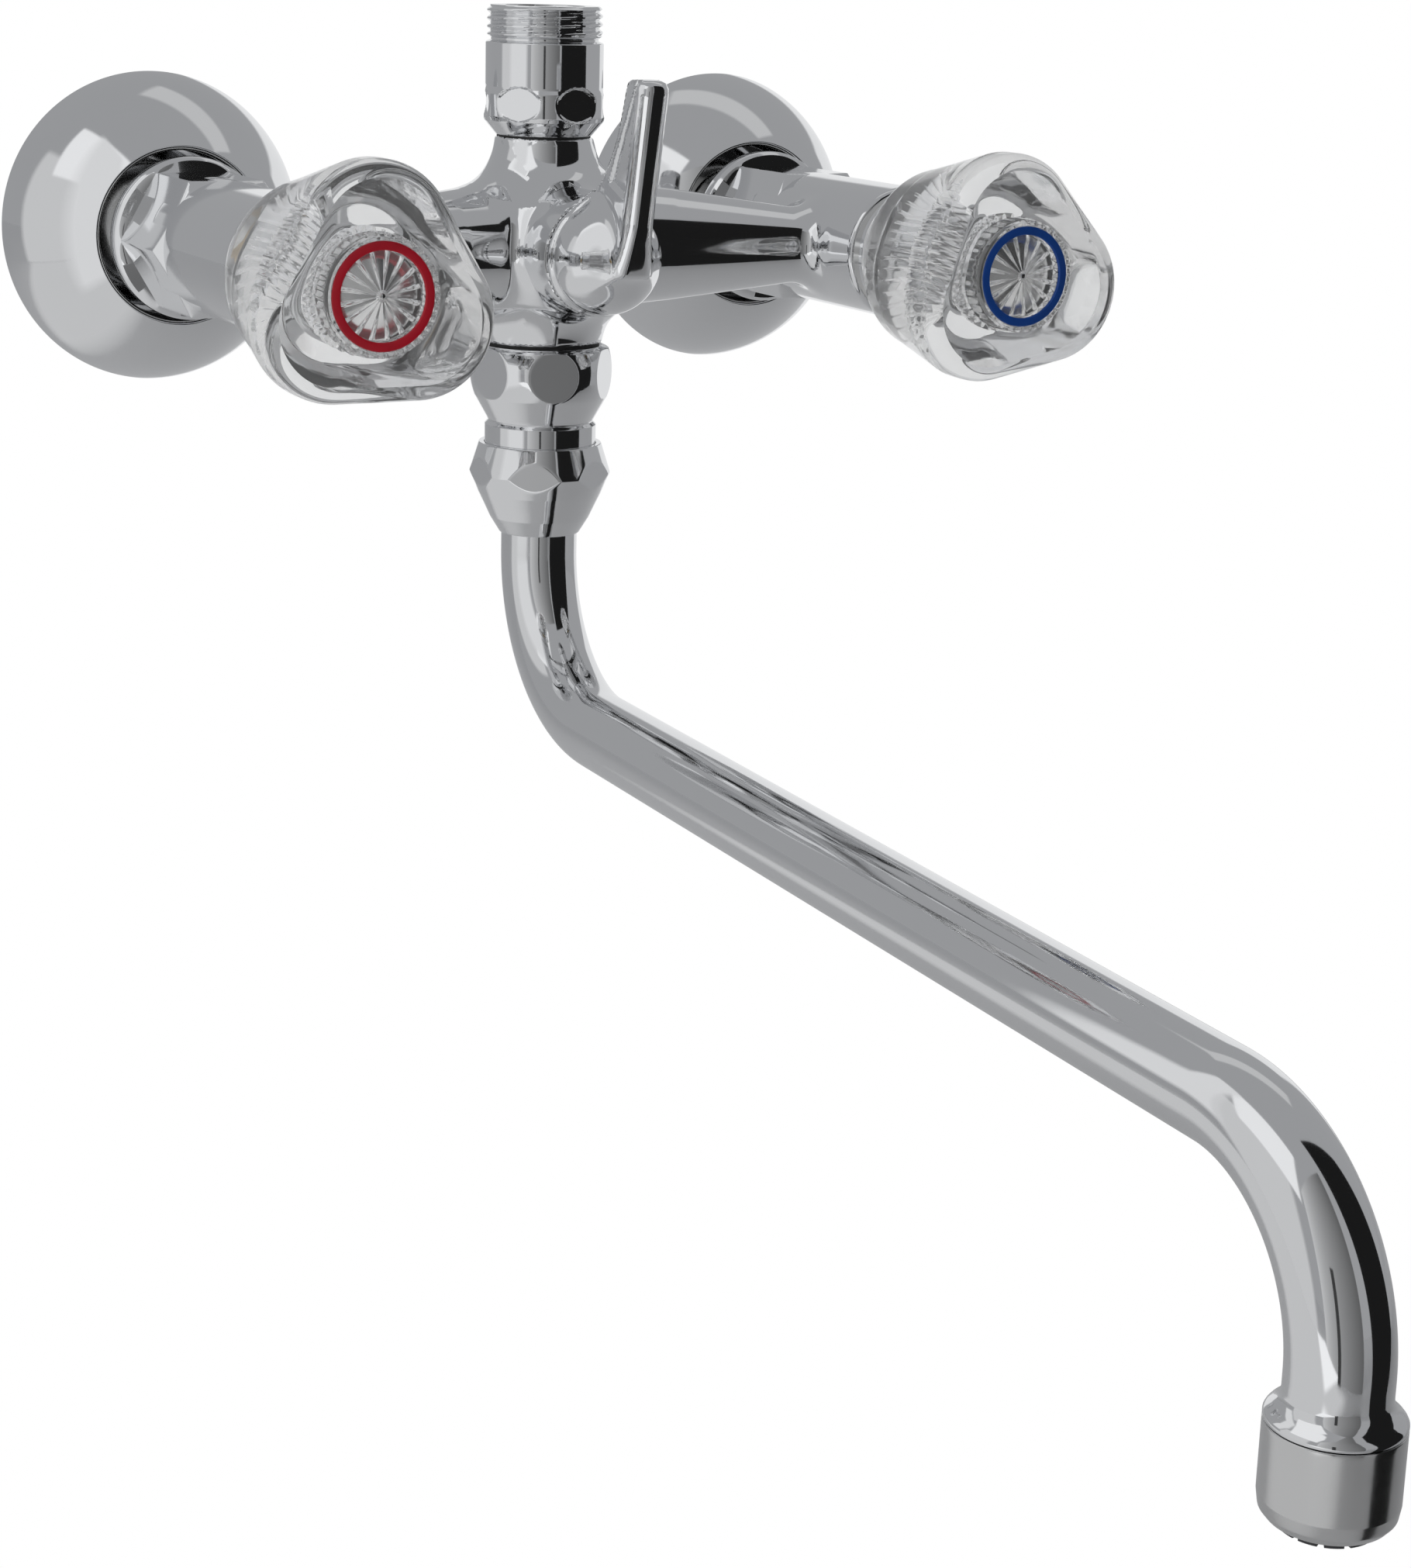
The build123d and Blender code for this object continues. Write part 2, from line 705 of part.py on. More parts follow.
def spindle():
    """The turning spindle: inner thread, collar, journal with its groove, and splines."""
    solid = turned(
        (0, spindle_tip),
        (spindle_thread_radius, spindle_tip),
        (spindle_thread_radius, collar_back + face_gap),
        (spindle_collar_radius, collar_back + face_gap),
        (spindle_collar_radius, collar_front - face_gap),
        (spindle_journal_radius, collar_front - face_gap),
        (spindle_journal_radius, journal_end),
        (spindle_spline_radius, journal_end),
        (spindle_spline_radius, spline_end),
        (0, spline_end),
    )
    groove = spindle_journal_radius - o_ring_wire + running_gap / 2
    half = o_ring_wire / 2 + running_gap
    solid -= washer(spindle_journal_radius + 1, groove, spindle_seal - half, spindle_seal + half)
    return solid - post(knob_screw_radius, spline_end - knob_screw_length, spline_end + 1)


def spindle_o_ring():
    """The seal in the spindle's groove."""
    return o_ring(spindle_journal_radius - o_ring_wire + running_gap / 2, spindle_seal)


def plunger():
    """The hexagonal plunger that the spindle's thread moves off the valve seat."""
    stem_start = seat_front + valve_washer_thickness + plunger_cup_thickness
    solid = post(plunger_cup_radius, stem_start - plunger_cup_thickness, stem_start)
    solid += hexagon(plunger_across_flats, stem_start, stem_start + plunger_stem_length, 90)
    floor = stem_start + plunger_floor_thickness
    solid -= post(spindle_thread_radius + thread_gap, floor, stem_start + plunger_stem_length + 1)
    back = stem_start - plunger_cup_thickness
    return solid - post(washer_screw_radius, back - 1, back + washer_screw_length)


def valve_washer():
    """The rubber washer that closes on the seat."""
    start = seat_front + face_gap
    return washer(valve_washer_radius, washer_screw_radius, start, seat_front + valve_washer_thickness)


def washer_screw():
    """The screw that holds the washer to the plunger."""
    seat = seat_front + face_gap
    head = post(washer_screw_head_radius, seat - washer_screw_head_thickness, seat)
    end = seat_front + valve_washer_thickness + washer_screw_length
    return head + post(washer_screw_radius, seat_front, end)


def lobed_face(side, lobe, height):
    """A triangle with round corners: its sides and its lobes at the distances given."""
    reach = 2 * (lobe - side)
    corner = lobe - reach
    edges = []
    for turn in (90, 210, 330):
        centre = Vector(reach * cos(radians(turn)), reach * sin(radians(turn)))
        angles = [radians(turn + spread) for spread in (-60, 0, 60)]
        edges.append(ThreePointArc(*[centre + corner * Vector(cos(angle), sin(angle)) for angle in angles]))
    for index in range(3):
        edges.append(Line(edges[index] @ 1, edges[(index + 1) % 3] @ 0))
    return Pos(0, 0, height) * make_face(edges)


def crystal_knob():
    """The clear knob: round at the back, three-lobed in front, with a dished face."""
    flare = knob_lobe_radius - knob_side_radius
    sections = [
        lobed_face(knob_back_radius - 0.5, knob_back_radius, knob_back),
        lobed_face(knob_side_radius, knob_side_radius + 0.18 * flare, knob_back + 0.15 * knob_widest),
        lobed_face(knob_side_radius, knob_side_radius + 0.50 * flare, knob_back + 0.45 * knob_widest),
        lobed_face(knob_side_radius, knob_side_radius + 0.84 * flare, knob_back + 0.75 * knob_widest),
        lobed_face(knob_side_radius, knob_lobe_radius, knob_back + knob_widest),
        lobed_face(knob_side_radius - 1.0, knob_lobe_radius - 1.2, knob_front - 3.0),
        lobed_face(knob_front_side_radius, knob_front_lobe_radius, knob_front),
    ]
    solid = loft(sections)
    floor_radius = cap_radius + dish_floor_width
    slope = dish_depth / (knob_front_lobe_radius - floor_radius)
    above = dish_bottom + slope * (knob_lobe_radius - floor_radius)
    solid -= turned((0, dish_bottom), (floor_radius, dish_bottom), (knob_lobe_radius, above), (0, above))
    solid -= post(knob_insert_radius + face_gap, knob_back - 1, skirt_end)
    solid -= post(knob_grip_radius + face_gap, knob_back, grip_end)
    return solid - post(cap_radius + face_gap, grip_end, knob_front + 1)


def knob_insert():
    """The plated insert in the knob: a plain skirt and a fluted grip."""
    solid = post(knob_insert_radius, knob_back + 0.5, skirt_end)
    solid += post(knob_grip_radius, skirt_end, grip_end)
    flute = Pos(knob_grip_radius, 0, 0) * post(flute_radius, skirt_end, grip_end + 1)
    solid -= [Rot(0, 0, index * 360 / flute_count) * flute for index in range(flute_count)]
    solid -= post(spindle_spline_radius, knob_back, spline_end + loose_gap)
    solid -= post(knob_screw_radius + running_gap, knob_back, grip_end)
    return solid - post(knob_screw_head_radius + loose_gap, screw_seat, grip_end + 1)


def knob_screw():
    """The screw that holds the knob on the spindle."""
    head = post(knob_screw_head_radius, screw_seat, screw_seat + knob_screw_head_thickness)
    return head + post(knob_screw_radius, spline_end - knob_screw_length, screw_seat)


def index_cap():
    """The clear cap in the knob's face, recessed for its coloured ring."""
    solid = post(cap_radius, grip_end + face_gap, cap_front)
    solid -= post(cap_radius - cap_wall, cap_front - index_ring_thickness, cap_front + 1)
    return solid - post(cap_radius - 2 * cap_wall, grip_end, dish_bottom)


def index_ring():
    """The red or blue ring that marks hot or cold."""
    return washer(index_ring_outer, index_ring_inner, cap_front - index_ring_thickness, cap_front)


def star_disc():
    """The bright disc inside the coloured ring, slightly dished."""
    floor = cap_front - index_ring_thickness
    radius = index_ring_inner - face_gap
    rim = floor + star_thickness
    return turned((0, floor), (radius, floor), (radius, rim), (0, rim - star_dish))


def diverter_bonnet():
    """The threaded bush that closes the boss and guides the diverter's shaft."""
    solid = post(diverter_bonnet_radius, diverter_bonnet_back, boss_front)
    return solid - post(shaft_radius + running_gap, diverter_bonnet_back - 1, boss_front + 1)


def diverter_shaft():
    """The lever's shaft: journal, collar and a crank pin in the barrel."""
    end = lever_back + lever_socket_depth - face_gap
    collar_end = diverter_bonnet_back - face_gap
    collar_start = collar_end - shaft_collar_length
    disc_start = body_back + spool_radius + loose_gap
    pin_end = body_back - spool_yoke_depth / 2
    solid = post(shaft_radius, collar_end, end)
    solid += post(shaft_collar_radius, collar_start, collar_end)
    solid += post(shaft_disc_radius, disc_start, collar_start)
    solid += Pos(0, crank_throw, 0) * post(crank_pin_radius, pin_end, disc_start)
    groove = shaft_radius - o_ring_wire + running_gap / 2
    half = o_ring_wire / 2 + running_gap
    return solid - washer(shaft_radius + 1, groove, diverter_seal - half, diverter_seal + half)


def diverter_o_ring():
    """The seal in the groove of the diverter's shaft."""
    return o_ring(shaft_radius - o_ring_wire + running_gap / 2, diverter_seal)


def lever():
    """The domed hub over the boss and the blade on it, with a shallow recess in each side."""
    front = lever_back + lever_hub_length
    dome_centre = front - lever_dome_radius
    slant = lever_dome_radius * sqrt(0.5)
    dome = ThreePointArc(
        (lever_dome_radius, 0, dome_centre),
        (slant, 0, dome_centre + slant),
        (0, 0, front),
    )
    outline = dome + Polyline(
        dome @ 1,
        (0, 0, lever_back),
        (lever_hub_radius, 0, lever_back),
        (lever_hub_radius, 0, lever_back + lever_rim_length),
        dome @ 0,
    )
    hub = revolve(make_face(outline), Axis.Z)
    blade = lever_plate(
        lever_width,
        (-lever_foot_drop, lever_foot_reach),
        (lever_height - lever_tip_slope, lever_tip_reach),
        (lever_height, lever_tip_reach - lever_tip_slope),
        (lever_height - lever_tip_fall, lever_tip_reach - lever_tip_depth),
        (lever_bend_height, lever_bend_reach),
        (lever_heel_height, lever_heel_reach),
        (-lever_foot_drop, lever_foot_reach - lever_foot_depth),
    )
    ahead = [edge for edge in blade.edges() if edge.center().Z > lever_back + lever_foot_reach]
    blade = chamfer([edge for edge in ahead if edge.length > lever_height / 2], lever_chamfer)
    inset = lever_chamfer + lever_recess_margin
    lean = (lever_tip_reach - lever_foot_reach) / (lever_height + lever_foot_drop - lever_tip_slope)
    front_low = lever_foot_reach + lean * (lever_recess_bottom + lever_foot_drop) - inset
    front_high = lever_foot_reach + lean * (lever_recess_top + lever_foot_drop) - inset
    recess = lever_plate(
        2 * lever_recess_depth,
        (lever_recess_bottom, front_low),
        (lever_recess_top, front_high),
        (lever_bend_height, lever_bend_reach + lever_rear_rim),
        (lever_recess_bottom + lever_rear_rim, front_low - lever_recess_width),
    )
    for sign in (-1, 1):
        blade -= Pos(sign * lever_width / 2, 0, 0) * recess
    solid = hub + blade
    solid -= post(shaft_radius, lever_back - 1, lever_back + lever_socket_depth)
    screw_hole = post(lever_screw_radius, shaft_radius - 1, lever_hub_radius)
    return solid - Pos(0, 0, lever_screw_at) * Rot(90, 0, 0) * screw_hole


def lever_plate(width, *corners):
    """A plate on the lever's middle plane, from the (height, reach) corners of its side."""
    side = [Vector(0, height, lever_back + reach) for height, reach in corners]
    return extrude(make_face(Polyline(*side, close=True)), width / 2, dir=(1, 0, 0), both=True)


def lever_screw():
    """The grub screw under the hub that fixes the lever to its shaft."""
    screw = post(lever_screw_radius, shaft_radius, lever_dome_radius - lever_screw_inset)
    return Pos(0, 0, lever_screw_at) * Rot(90, 0, 0) * screw


def spool():
    """The diverter's spool: two discs and a yoke with a slot for the crank pin."""
    top = crank_throw + spool_reach
    bottom = crank_throw - spool_reach
    solid = Pos(0, 0, crank_throw) * Box(spool_yoke_width, spool_yoke_depth, 2 * spool_reach)
    solid &= post(spool_radius, bottom, top)
    solid += post(spool_radius, top - spool_disc_thickness, top)
    solid += post(spool_radius, bottom, bottom + spool_disc_thickness)
    slot_width = 2 * (crank_throw + crank_pin_radius + loose_gap)
    slot_height = 2 * (crank_pin_radius + spool_slot_play)
    return solid - Pos(0, 0, crank_throw) * Box(slot_width, 2 * spool_yoke_depth, slot_height)


def spool_seal(start):
    """A rubber disc on one end of the spool."""
    return post(spool_radius, start, start + spool_seal_thickness)


pieces = {
    "body_casting": body_casting(),
    "riser_washer": on_barrel(riser_washer()),
    "riser_nipple": on_barrel(riser_nipple()),
    "adaptor_washer": on_barrel(adaptor_washer()),
    "spout_adaptor": on_barrel(spout_adaptor()),
    "spout_o_ring": on_barrel(spout_o_ring()),
    "spout_nut": on_barrel(spout_nut()),
    "spout_tube": on_barrel(Rot(0, 0, spout_turn) * spout_tube()),
    "spout_flange_ring": on_barrel(spout_flange_ring()),
    "diverter_bonnet": from_wall(diverter_bonnet()),
    "diverter_shaft": from_wall(diverter_shaft()),
    "diverter_o_ring": from_wall(diverter_o_ring()),
    "lever": from_wall(lever()),
    "lever_screw": from_wall(lever_screw()),
    "spool": on_barrel(spool()),
    "spool_upper_seal": on_barrel(spool_seal(crank_throw + spool_reach)),
    "spool_lower_seal": on_barrel(spool_seal(crank_throw - spool_reach - spool_seal_thickness)),
}
outlet = on_barrel(Rot(0, 0, spout_turn) * Pos(*(spout_path() @ 1)))
pieces["aerator_housing"] = outlet * aerator_housing()
pieces["aerator_washer"] = outlet * aerator_washer()
pieces["aerator_insert"] = outlet * aerator_insert()

side_pieces = {
    "eccentric": eccentric(),
    "escutcheon": escutcheon(),
    "inlet_nut": inlet_nut(),
    "inlet_gasket": inlet_gasket(),
    "inlet_tail": inlet_tail(),
    "valve_bonnet": valve_bonnet(),
    "bonnet_shroud": bonnet_shroud(),
    "spindle": spindle(),
    "spindle_o_ring": spindle_o_ring(),
    "plunger": plunger(),
    "valve_washer": valve_washer(),
    "washer_screw": washer_screw(),
    "crystal_knob": crystal_knob(),
    "knob_insert": knob_insert(),
    "knob_screw": knob_screw(),
    "index_cap": index_cap(),
    "index_ring": index_ring(),
    "star_disc": star_disc(),
}
for side, x, turn in (("hot", -inlet_x, 0), ("cold", inlet_x, cold_knob_turn)):
    for name, shape in side_pieces.items():
        if name == "crystal_knob":
            shape = Rot(0, 0, turn) * shape
        pieces[f"{side}_{name}"] = from_wall(shape, x)

os.makedirs("parts", exist_ok=True)
for name, shape in pieces.items():
    export_step(shape, f"parts/{name}.step")
print(len(pieces), "pieces")
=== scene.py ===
"""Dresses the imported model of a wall-mounted bath and shower mixer: chrome, crystal handles, studio light."""

import json
from math import cos, hypot, pi, radians, sin, sqrt, tan

import bmesh
import bpy
import numpy as np
from mathutils import Matrix, Vector


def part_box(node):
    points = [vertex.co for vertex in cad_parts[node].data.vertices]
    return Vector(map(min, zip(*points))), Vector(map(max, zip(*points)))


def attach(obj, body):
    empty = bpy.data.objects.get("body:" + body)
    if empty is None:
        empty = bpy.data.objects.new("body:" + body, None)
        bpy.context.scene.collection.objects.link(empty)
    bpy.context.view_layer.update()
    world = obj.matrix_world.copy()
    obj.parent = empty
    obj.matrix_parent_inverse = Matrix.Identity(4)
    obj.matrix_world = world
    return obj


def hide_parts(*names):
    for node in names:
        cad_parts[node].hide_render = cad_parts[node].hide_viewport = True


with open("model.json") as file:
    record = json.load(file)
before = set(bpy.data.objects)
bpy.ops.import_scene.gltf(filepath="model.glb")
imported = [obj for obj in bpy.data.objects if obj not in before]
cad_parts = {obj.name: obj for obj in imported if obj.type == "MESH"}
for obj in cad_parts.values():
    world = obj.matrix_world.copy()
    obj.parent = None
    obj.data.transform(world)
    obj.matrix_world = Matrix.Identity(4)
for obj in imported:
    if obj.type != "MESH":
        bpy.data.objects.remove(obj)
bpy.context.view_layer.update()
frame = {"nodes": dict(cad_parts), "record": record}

bl_info = {
    "name": "Bath Mixer Looks",
    "version": (1, 0, 0),
    "blender": (4, 5, 0),
    "location": "View3D > Sidebar > Bath Mixer",
    "description": "Dresses a wall-mounted bath and shower mixer in chrome and crystal",
    "category": "Object",
}

MM = 0.001
SIDES = ("hot", "cold")


# Places taken from the CAD nodes, in millimetres

BOXES = {name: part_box(name) for name in frame["nodes"]}


def low(node, axis):
    """A node's lowest coordinate on an axis, in millimetres."""
    return BOXES[node][0][axis] / MM


def high(node, axis):
    """A node's highest coordinate on an axis, in millimetres."""
    return BOXES[node][1][axis] / MM


def middle(node, axis):
    """A node's middle on an axis, in millimetres."""
    return (low(node, axis) + high(node, axis)) / 2


def depths(node):
    """A node's back and front as distances from the wall, in millimetres."""
    return -high(node, 1), -low(node, 1)


INLET_X = middle("cold_escutcheon", 0)
BARREL_Y = middle("riser_nipple", 1)
BODY_BACK, BODY_FRONT = depths("body_casting")
BODY_BOTTOM, BODY_TOP = low("body_casting", 2), high("body_casting", 2)
BOSS_FRONT = -low("diverter_bonnet", 1)
LEVER_BACK = -high("lever", 1)
LEVER_TOP = high("lever", 2)

# Sizes of the visible forms, in millimetres

SHARP_ANGLE = radians(38)
BARREL_RADIUS = 13.9
NECK_RADIUS = 10.8
BOSS_RADIUS = 13.3
BODY_END_RADIUS = 15.2
ARM_SWEEP = 17.7
ARM_DISTANCES = (0, 20, 30, 46, 62, 80)
ARM_RADII = (14.6, 13.9, 12.9, 10.8, 8.6, 6.4)
DOME_RADIUS = 36.8
DOME_WALL = 1.3
LIP_RADIUS = 20.5
LIP_WALL = 1.2
BALL_RADIUS = 16.7
BALL_DROP = 6.1
SPOUT_RADIUS = 9.0
SPOUT_WALL = 1.0
SPOUT_BEND_START = -72.2
SPOUT_BACK_BEND = 36.3
SPOUT_RUN = 235.2
SPOUT_FALL = radians(1.35)
SPOUT_FRONT_BEND = 35.8
OUTLET_DROP = 2.5
OUTLET_LENGTH = 7.8
KNOB_LENGTH = 35.0
KNOB_REAR = 20.6
KNOB_SIDE = 21.4
KNOB_LOBE = 26.5
KNOB_BORE = 11.85
KNOB_FLUTES = 36
KNOB_TURN = {"hot": 0.0, "cold": 11.7}
INSERT_FLUTES = 32
AERATOR_NOTCHES = 12
STAR_RAYS = 16
STAR_RADIUS = 8.9


def size_value(name, description, default, smallest):
    """A size for the panel, in millimetres."""
    return bpy.props.FloatProperty(
        name=name, description=f"{description}, in millimetres", default=default, min=smallest
    )


def colour_value(name, description, default):
    """A colour for the panel."""
    return bpy.props.FloatVectorProperty(
        name=name, description=description, subtype="COLOR", size=3, default=default, min=0.0, max=1.0
    )


class MixerSizes(bpy.types.PropertyGroup):
    """Sizes of the looks that a user may change, in millimetres."""

    edge: size_value("Machined edge", "Rounding of turned and milled edges", 0.35, 0.05)
    casting_blend: size_value("Casting blend", "How widely arms, boss and barrel flow together", 5.0, 0.5)
    casting_voxel: size_value("Casting grid", "Size of the grid that the casting is grown on", 0.9, 0.4)
    thread_pitch: size_value("Thread pitch", "Pitch of the pipe threads", 1.814, 0.5)
    thread_depth: size_value("Thread depth", "Depth of the pipe threads", 0.75, 0.1)
    segments: bpy.props.IntProperty(
        name="Round segments", description="Number of sides of a turned piece", default=192, min=24
    )


class MixerFinish(bpy.types.PropertyGroup):
    """Colours and gloss of the finishes."""

    chrome: colour_value("Chrome", "Reflection colour of the chrome plating", (0.80, 0.805, 0.815))
    chrome_roughness: bpy.props.FloatProperty(
        name="Chrome roughness",
        description="Roughness of polished chrome plating",
        subtype="FACTOR",
        default=0.055,
        min=0.0,
        max=1.0,
    )
    acrylic: colour_value("Acrylic", "Tint of the clear handles", (0.985, 0.987, 0.985))
    hot: colour_value("Hot mark", "Colour of the hot ring", (0.72, 0.008, 0.03))
    cold: colour_value("Cold mark", "Colour of the cold ring", (0.02, 0.11, 0.52))


def sizes():
    """The sizes that the panel holds."""
    return bpy.context.scene.mixer_sizes


def finish():
    """The finishes that the panel holds."""
    return bpy.context.scene.mixer_finish


# Meshes

def outward(node):
    """A placing function for an axis out of the wall: (across, up, out) become row-frame metres."""
    x = middle(node, 0)

    def place(points):
        across, up, out = np.moveaxis(points, -1, 0)
        return np.stack([x + across, -out, up], -1) * MM

    return place


def on_barrel(points):
    """Points (right, back, up) about the barrel's axis in millimetres, as row-frame metres."""
    right, back, up = np.moveaxis(points, -1, 0)
    return np.stack([right, BARREL_Y + back, up], -1) * MM


def rounded(corners, radius, steps=5):
    """A path of (radius, height) points with its corners rounded by arcs."""
    path = []
    for index, corner in enumerate(corners):
        here = np.array(corner[:2], float)
        size = corner[2] if len(corner) > 2 else radius
        before = np.array(corners[index - 1][:2], float) - here
        after = np.array(corners[(index + 1) % len(corners)][:2], float) - here
        reach_before, reach_after = np.linalg.norm(before), np.linalg.norm(after)
        if size <= 0 or reach_before < 1e-6 or reach_after < 1e-6 or here[0] <= 0:
            path.append(here)
            continue
        before, after = before / reach_before, after / reach_after
        half = np.arccos(np.clip(before @ after, -1, 1)) / 2
        if half > 1.55:
            path.append(here)
            continue
        cut = min(size / tan(half), 0.45 * reach_before, 0.45 * reach_after)
        start, end = here + before * cut, here + after * cut
        for step in range(steps + 1):
            share = step / steps
            first = start * (1 - share) + here * share
            second = here * (1 - share) + end * share
            path.append(first * (1 - share) + second * share)
    return np.array(path)


def divided(path, step):
    """The closed path with its long stretches cut into steps."""
    result = []
    for here, there in zip(path, np.roll(path, -1, 0)):
        parts = max(1, int(np.ceil(np.linalg.norm(there - here) / step)))
        result += [here + (there - here) * part / parts for part in range(parts)]
    return np.array(result)


def shown(name, data):
    """A new object in the scene."""
    item = bpy.data.objects.new(name, data)
    bpy.context.scene.collection.objects.link(item)
    return item


def dress(piece, body, slot, node):
    """Puts a piece under its body, gives it the finish of its slot and hides the node that it stands for."""
    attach(piece, body)
    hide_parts(node)
    paint(piece, slot)


def paint(piece, slot):
    """Gives a piece a finish in place of what it had."""
    piece.data.materials.clear()
    piece.data.materials.append(material(slot))


def ringed(name, points, body, slot, node):
    """A piece whose skin joins rings of placed points, the last ring back to the first."""
    rows, columns = points.shape[:2]
    here = np.arange(rows * columns).reshape(rows, columns)
    there = np.roll(here, -1, 0)
    faces = np.stack([here, np.roll(here, -1, 1), np.roll(there, -1, 1), there], -1)
    mesh = bpy.data.meshes.new(name)
    mesh.from_pydata([tuple(point) for point in points.reshape(-1, 3)], [], faces.reshape(-1, 4).tolist())
    mesh.validate()
    mesh.update()
    piece = shown(name, mesh)
    dress(piece, body, slot, node)
    clean(piece)
    return piece


def around(rings, angle):
    """The points of rings about an axis, each ring given by its radius and its height."""
    level = np.ones_like(angle)
    return np.array([np.stack([r * np.cos(angle), r * np.sin(angle), h * level], -1) for r, h in rings])


def turned(
    name, node, corners, place, body="root", slot="chrome_plate", edge=None, shape=None, step=None, segments=None
):
    """A turned piece from the (radius, height) corners of its closed half section.

    shape(angle, radius, height) may change the radius, for flats, flutes and threads.
    """
    path = rounded(corners, sizes().edge if edge is None else edge)
    if step:
        path = divided(path, step)
    apart = np.linalg.norm(path - np.roll(path, 1, 0), axis=1) > 1e-4
    path = path[apart]
    segments = segments or sizes().segments
    angle = np.linspace(0, 2 * pi, segments, endpoint=False)
    radius = np.repeat(path[:, :1], segments, 1)
    height = np.repeat(path[:, 1:], segments, 1)
    if shape:
        radius = shape(angle[None, :], radius, height)
    return ringed(name, place(around(zip(radius, height), angle)), body, slot, node)


def clean(piece):
    """Merges points that meet, drops flat faces and turns every face outwards."""
    work = bmesh.new()
    work.from_mesh(piece.data)
    bmesh.ops.remove_doubles(work, verts=work.verts, dist=2e-6)
    bmesh.ops.dissolve_degenerate(work, edges=work.edges, dist=1e-6)
    bmesh.ops.recalc_face_normals(work, faces=work.faces)
    work.to_mesh(piece.data)
    work.free()
    sharpen(piece)


def sharpen(piece):
    """Keeps hard edges hard where faces meet at more than the sharp angle."""
    piece.data.polygons.foreach_set("use_smooth", [True] * len(piece.data.polygons))
    work = bmesh.new()
    work.from_mesh(piece.data)
    for line in work.edges:
        line.smooth = not (line.is_manifold and line.calc_face_angle(0.0) > SHARP_ANGLE)
    work.to_mesh(piece.data)
    work.free()


def joined(first, second, blend):
    """The smaller of two values with a round change, which is the union of two solids given as distances."""
    share = np.clip(0.5 + 0.5 * (second - first) / blend, 0, 1)
    return second + (first - second) * share - blend * share * (1 - share)


def cut_by(first, second, blend):
    """The space inside both solids given as distances, with a round edge."""
    return -joined(-first, -second, blend)


def portion(value, span):
    """How much of a span a value has passed, from 0 to 1."""
    return np.clip(value / span, 0, 1)


def waves(angle, count):
    """A value that swings from 0 to 1 and back, so many times in a turn."""
    return 0.5 - 0.5 * np.cos(angle * count)


def from_flat(angle, turn):
    """The angle from the middle of the nearest of six flats, the first of them turned."""
    half = pi / 6
    return (angle - radians(turn) + half) % (2 * half) - half


def flats(across, turn, inner, blend=0.35):
    """A shape that cuts six flats on a turned piece wherever its radius is over inner."""

    def shape(angle, radius, height):
        wall = across / 2 / np.cos(from_flat(angle, turn))
        return np.where(radius > inner, joined(radius, wall, blend), radius)

    return shape


def round_facets(full, deep, turn, height_middle, height_reach):
    """A shape that mills six flat oval spots on a band, leaning back a little, each with a bevelled edge."""
    reach = np.arccos(deep / full)
    lean, bevel, skin = 0.045, 0.15, 0.5

    def shape(angle, radius, height):
        local = from_flat(angle, turn)
        spread = (local / reach) ** 2 + ((height - height_middle) / height_reach) ** 2
        level = deep - lean * (height - height_middle)
        flat = np.minimum(radius, level / np.cos(np.clip(local, -reach, reach)))
        milled = radius + (flat - radius) * portion(1 - spread, bevel)
        return np.where(radius > deep - skin, milled, radius)

    return shape


def thread(start, end, inner):
    """A shape that cuts a pipe thread between two heights wherever the radius is over inner."""
    pitch, depth = sizes().thread_pitch, sizes().thread_depth
    crest, flank = 0.20, 0.66

    def shape(angle, radius, height):
        phase = height / pitch - angle / (2 * pi)
        groove = portion(np.abs((phase % 1.0) * 2 - 1) - crest, flank)
        fade = portion(height - start, 0.5 * pitch) * portion(end - height, 0.35 * pitch)
        return np.where(radius > inner, radius - depth * groove * fade, radius)

    return shape


# Materials and the node groups that they share

def group(name, inputs, outputs):
    """An empty shader node group with its sockets, and its input and output nodes."""
    tree = bpy.data.node_groups.new(name, "ShaderNodeTree")
    for label, default in inputs.items():
        kind = "NodeSocketColor" if isinstance(default, tuple) else "NodeSocketFloat"
        tree.interface.new_socket(name=label, in_out="INPUT", socket_type=kind).default_value = default
    for label in outputs:
        kind = "NodeSocketColor" if label == "Colour" else "NodeSocketFloat"
        tree.interface.new_socket(name=label, in_out="OUTPUT", socket_type=kind)
    return tree, tree.nodes.new("NodeGroupInput"), tree.nodes.new("NodeGroupOutput")


def link(tree, source, target):
    """Joins an output socket to an input socket."""
    tree.links.new(source, target)


def noise(tree, scale, detail=3.0, roughness=0.55):
    """The value of a noise texture over the object's own coordinates."""
    place = tree.nodes.new("ShaderNodeTexCoord")
    texture = tree.nodes.new("ShaderNodeTexNoise")
    for label, value in (("Scale", scale), ("Detail", detail), ("Roughness", roughness)):
        texture.inputs[label].default_value = value
    link(tree, place.outputs["Object"], texture.inputs["Vector"])
    return texture.outputs["Fac"]


def ramp(tree, value, *limits):
    """A value mapped from one range to another: from low, from high, to low, to high."""
    node = tree.nodes.new("ShaderNodeMapRange")
    for label, limit in zip(("From Min", "From Max", "To Min", "To Max"), limits):
        node.inputs[label].default_value = limit
    link(tree, value, node.inputs["Value"])
    return node.outputs["Result"]


def combined(tree, operation, first, second):
    """Two values, each a number or a socket, added or multiplied."""
    node = tree.nodes.new("ShaderNodeMath")
    node.operation = operation
    for item, socket in ((first, node.inputs[0]), (second, node.inputs[1])):
        if isinstance(item, (int, float)):
            socket.default_value = item
        else:
            link(tree, item, socket)
    return node.outputs["Value"]


def scaled(tree, value, factor):
    """A value times another."""
    return combined(tree, "MULTIPLY", value, factor)


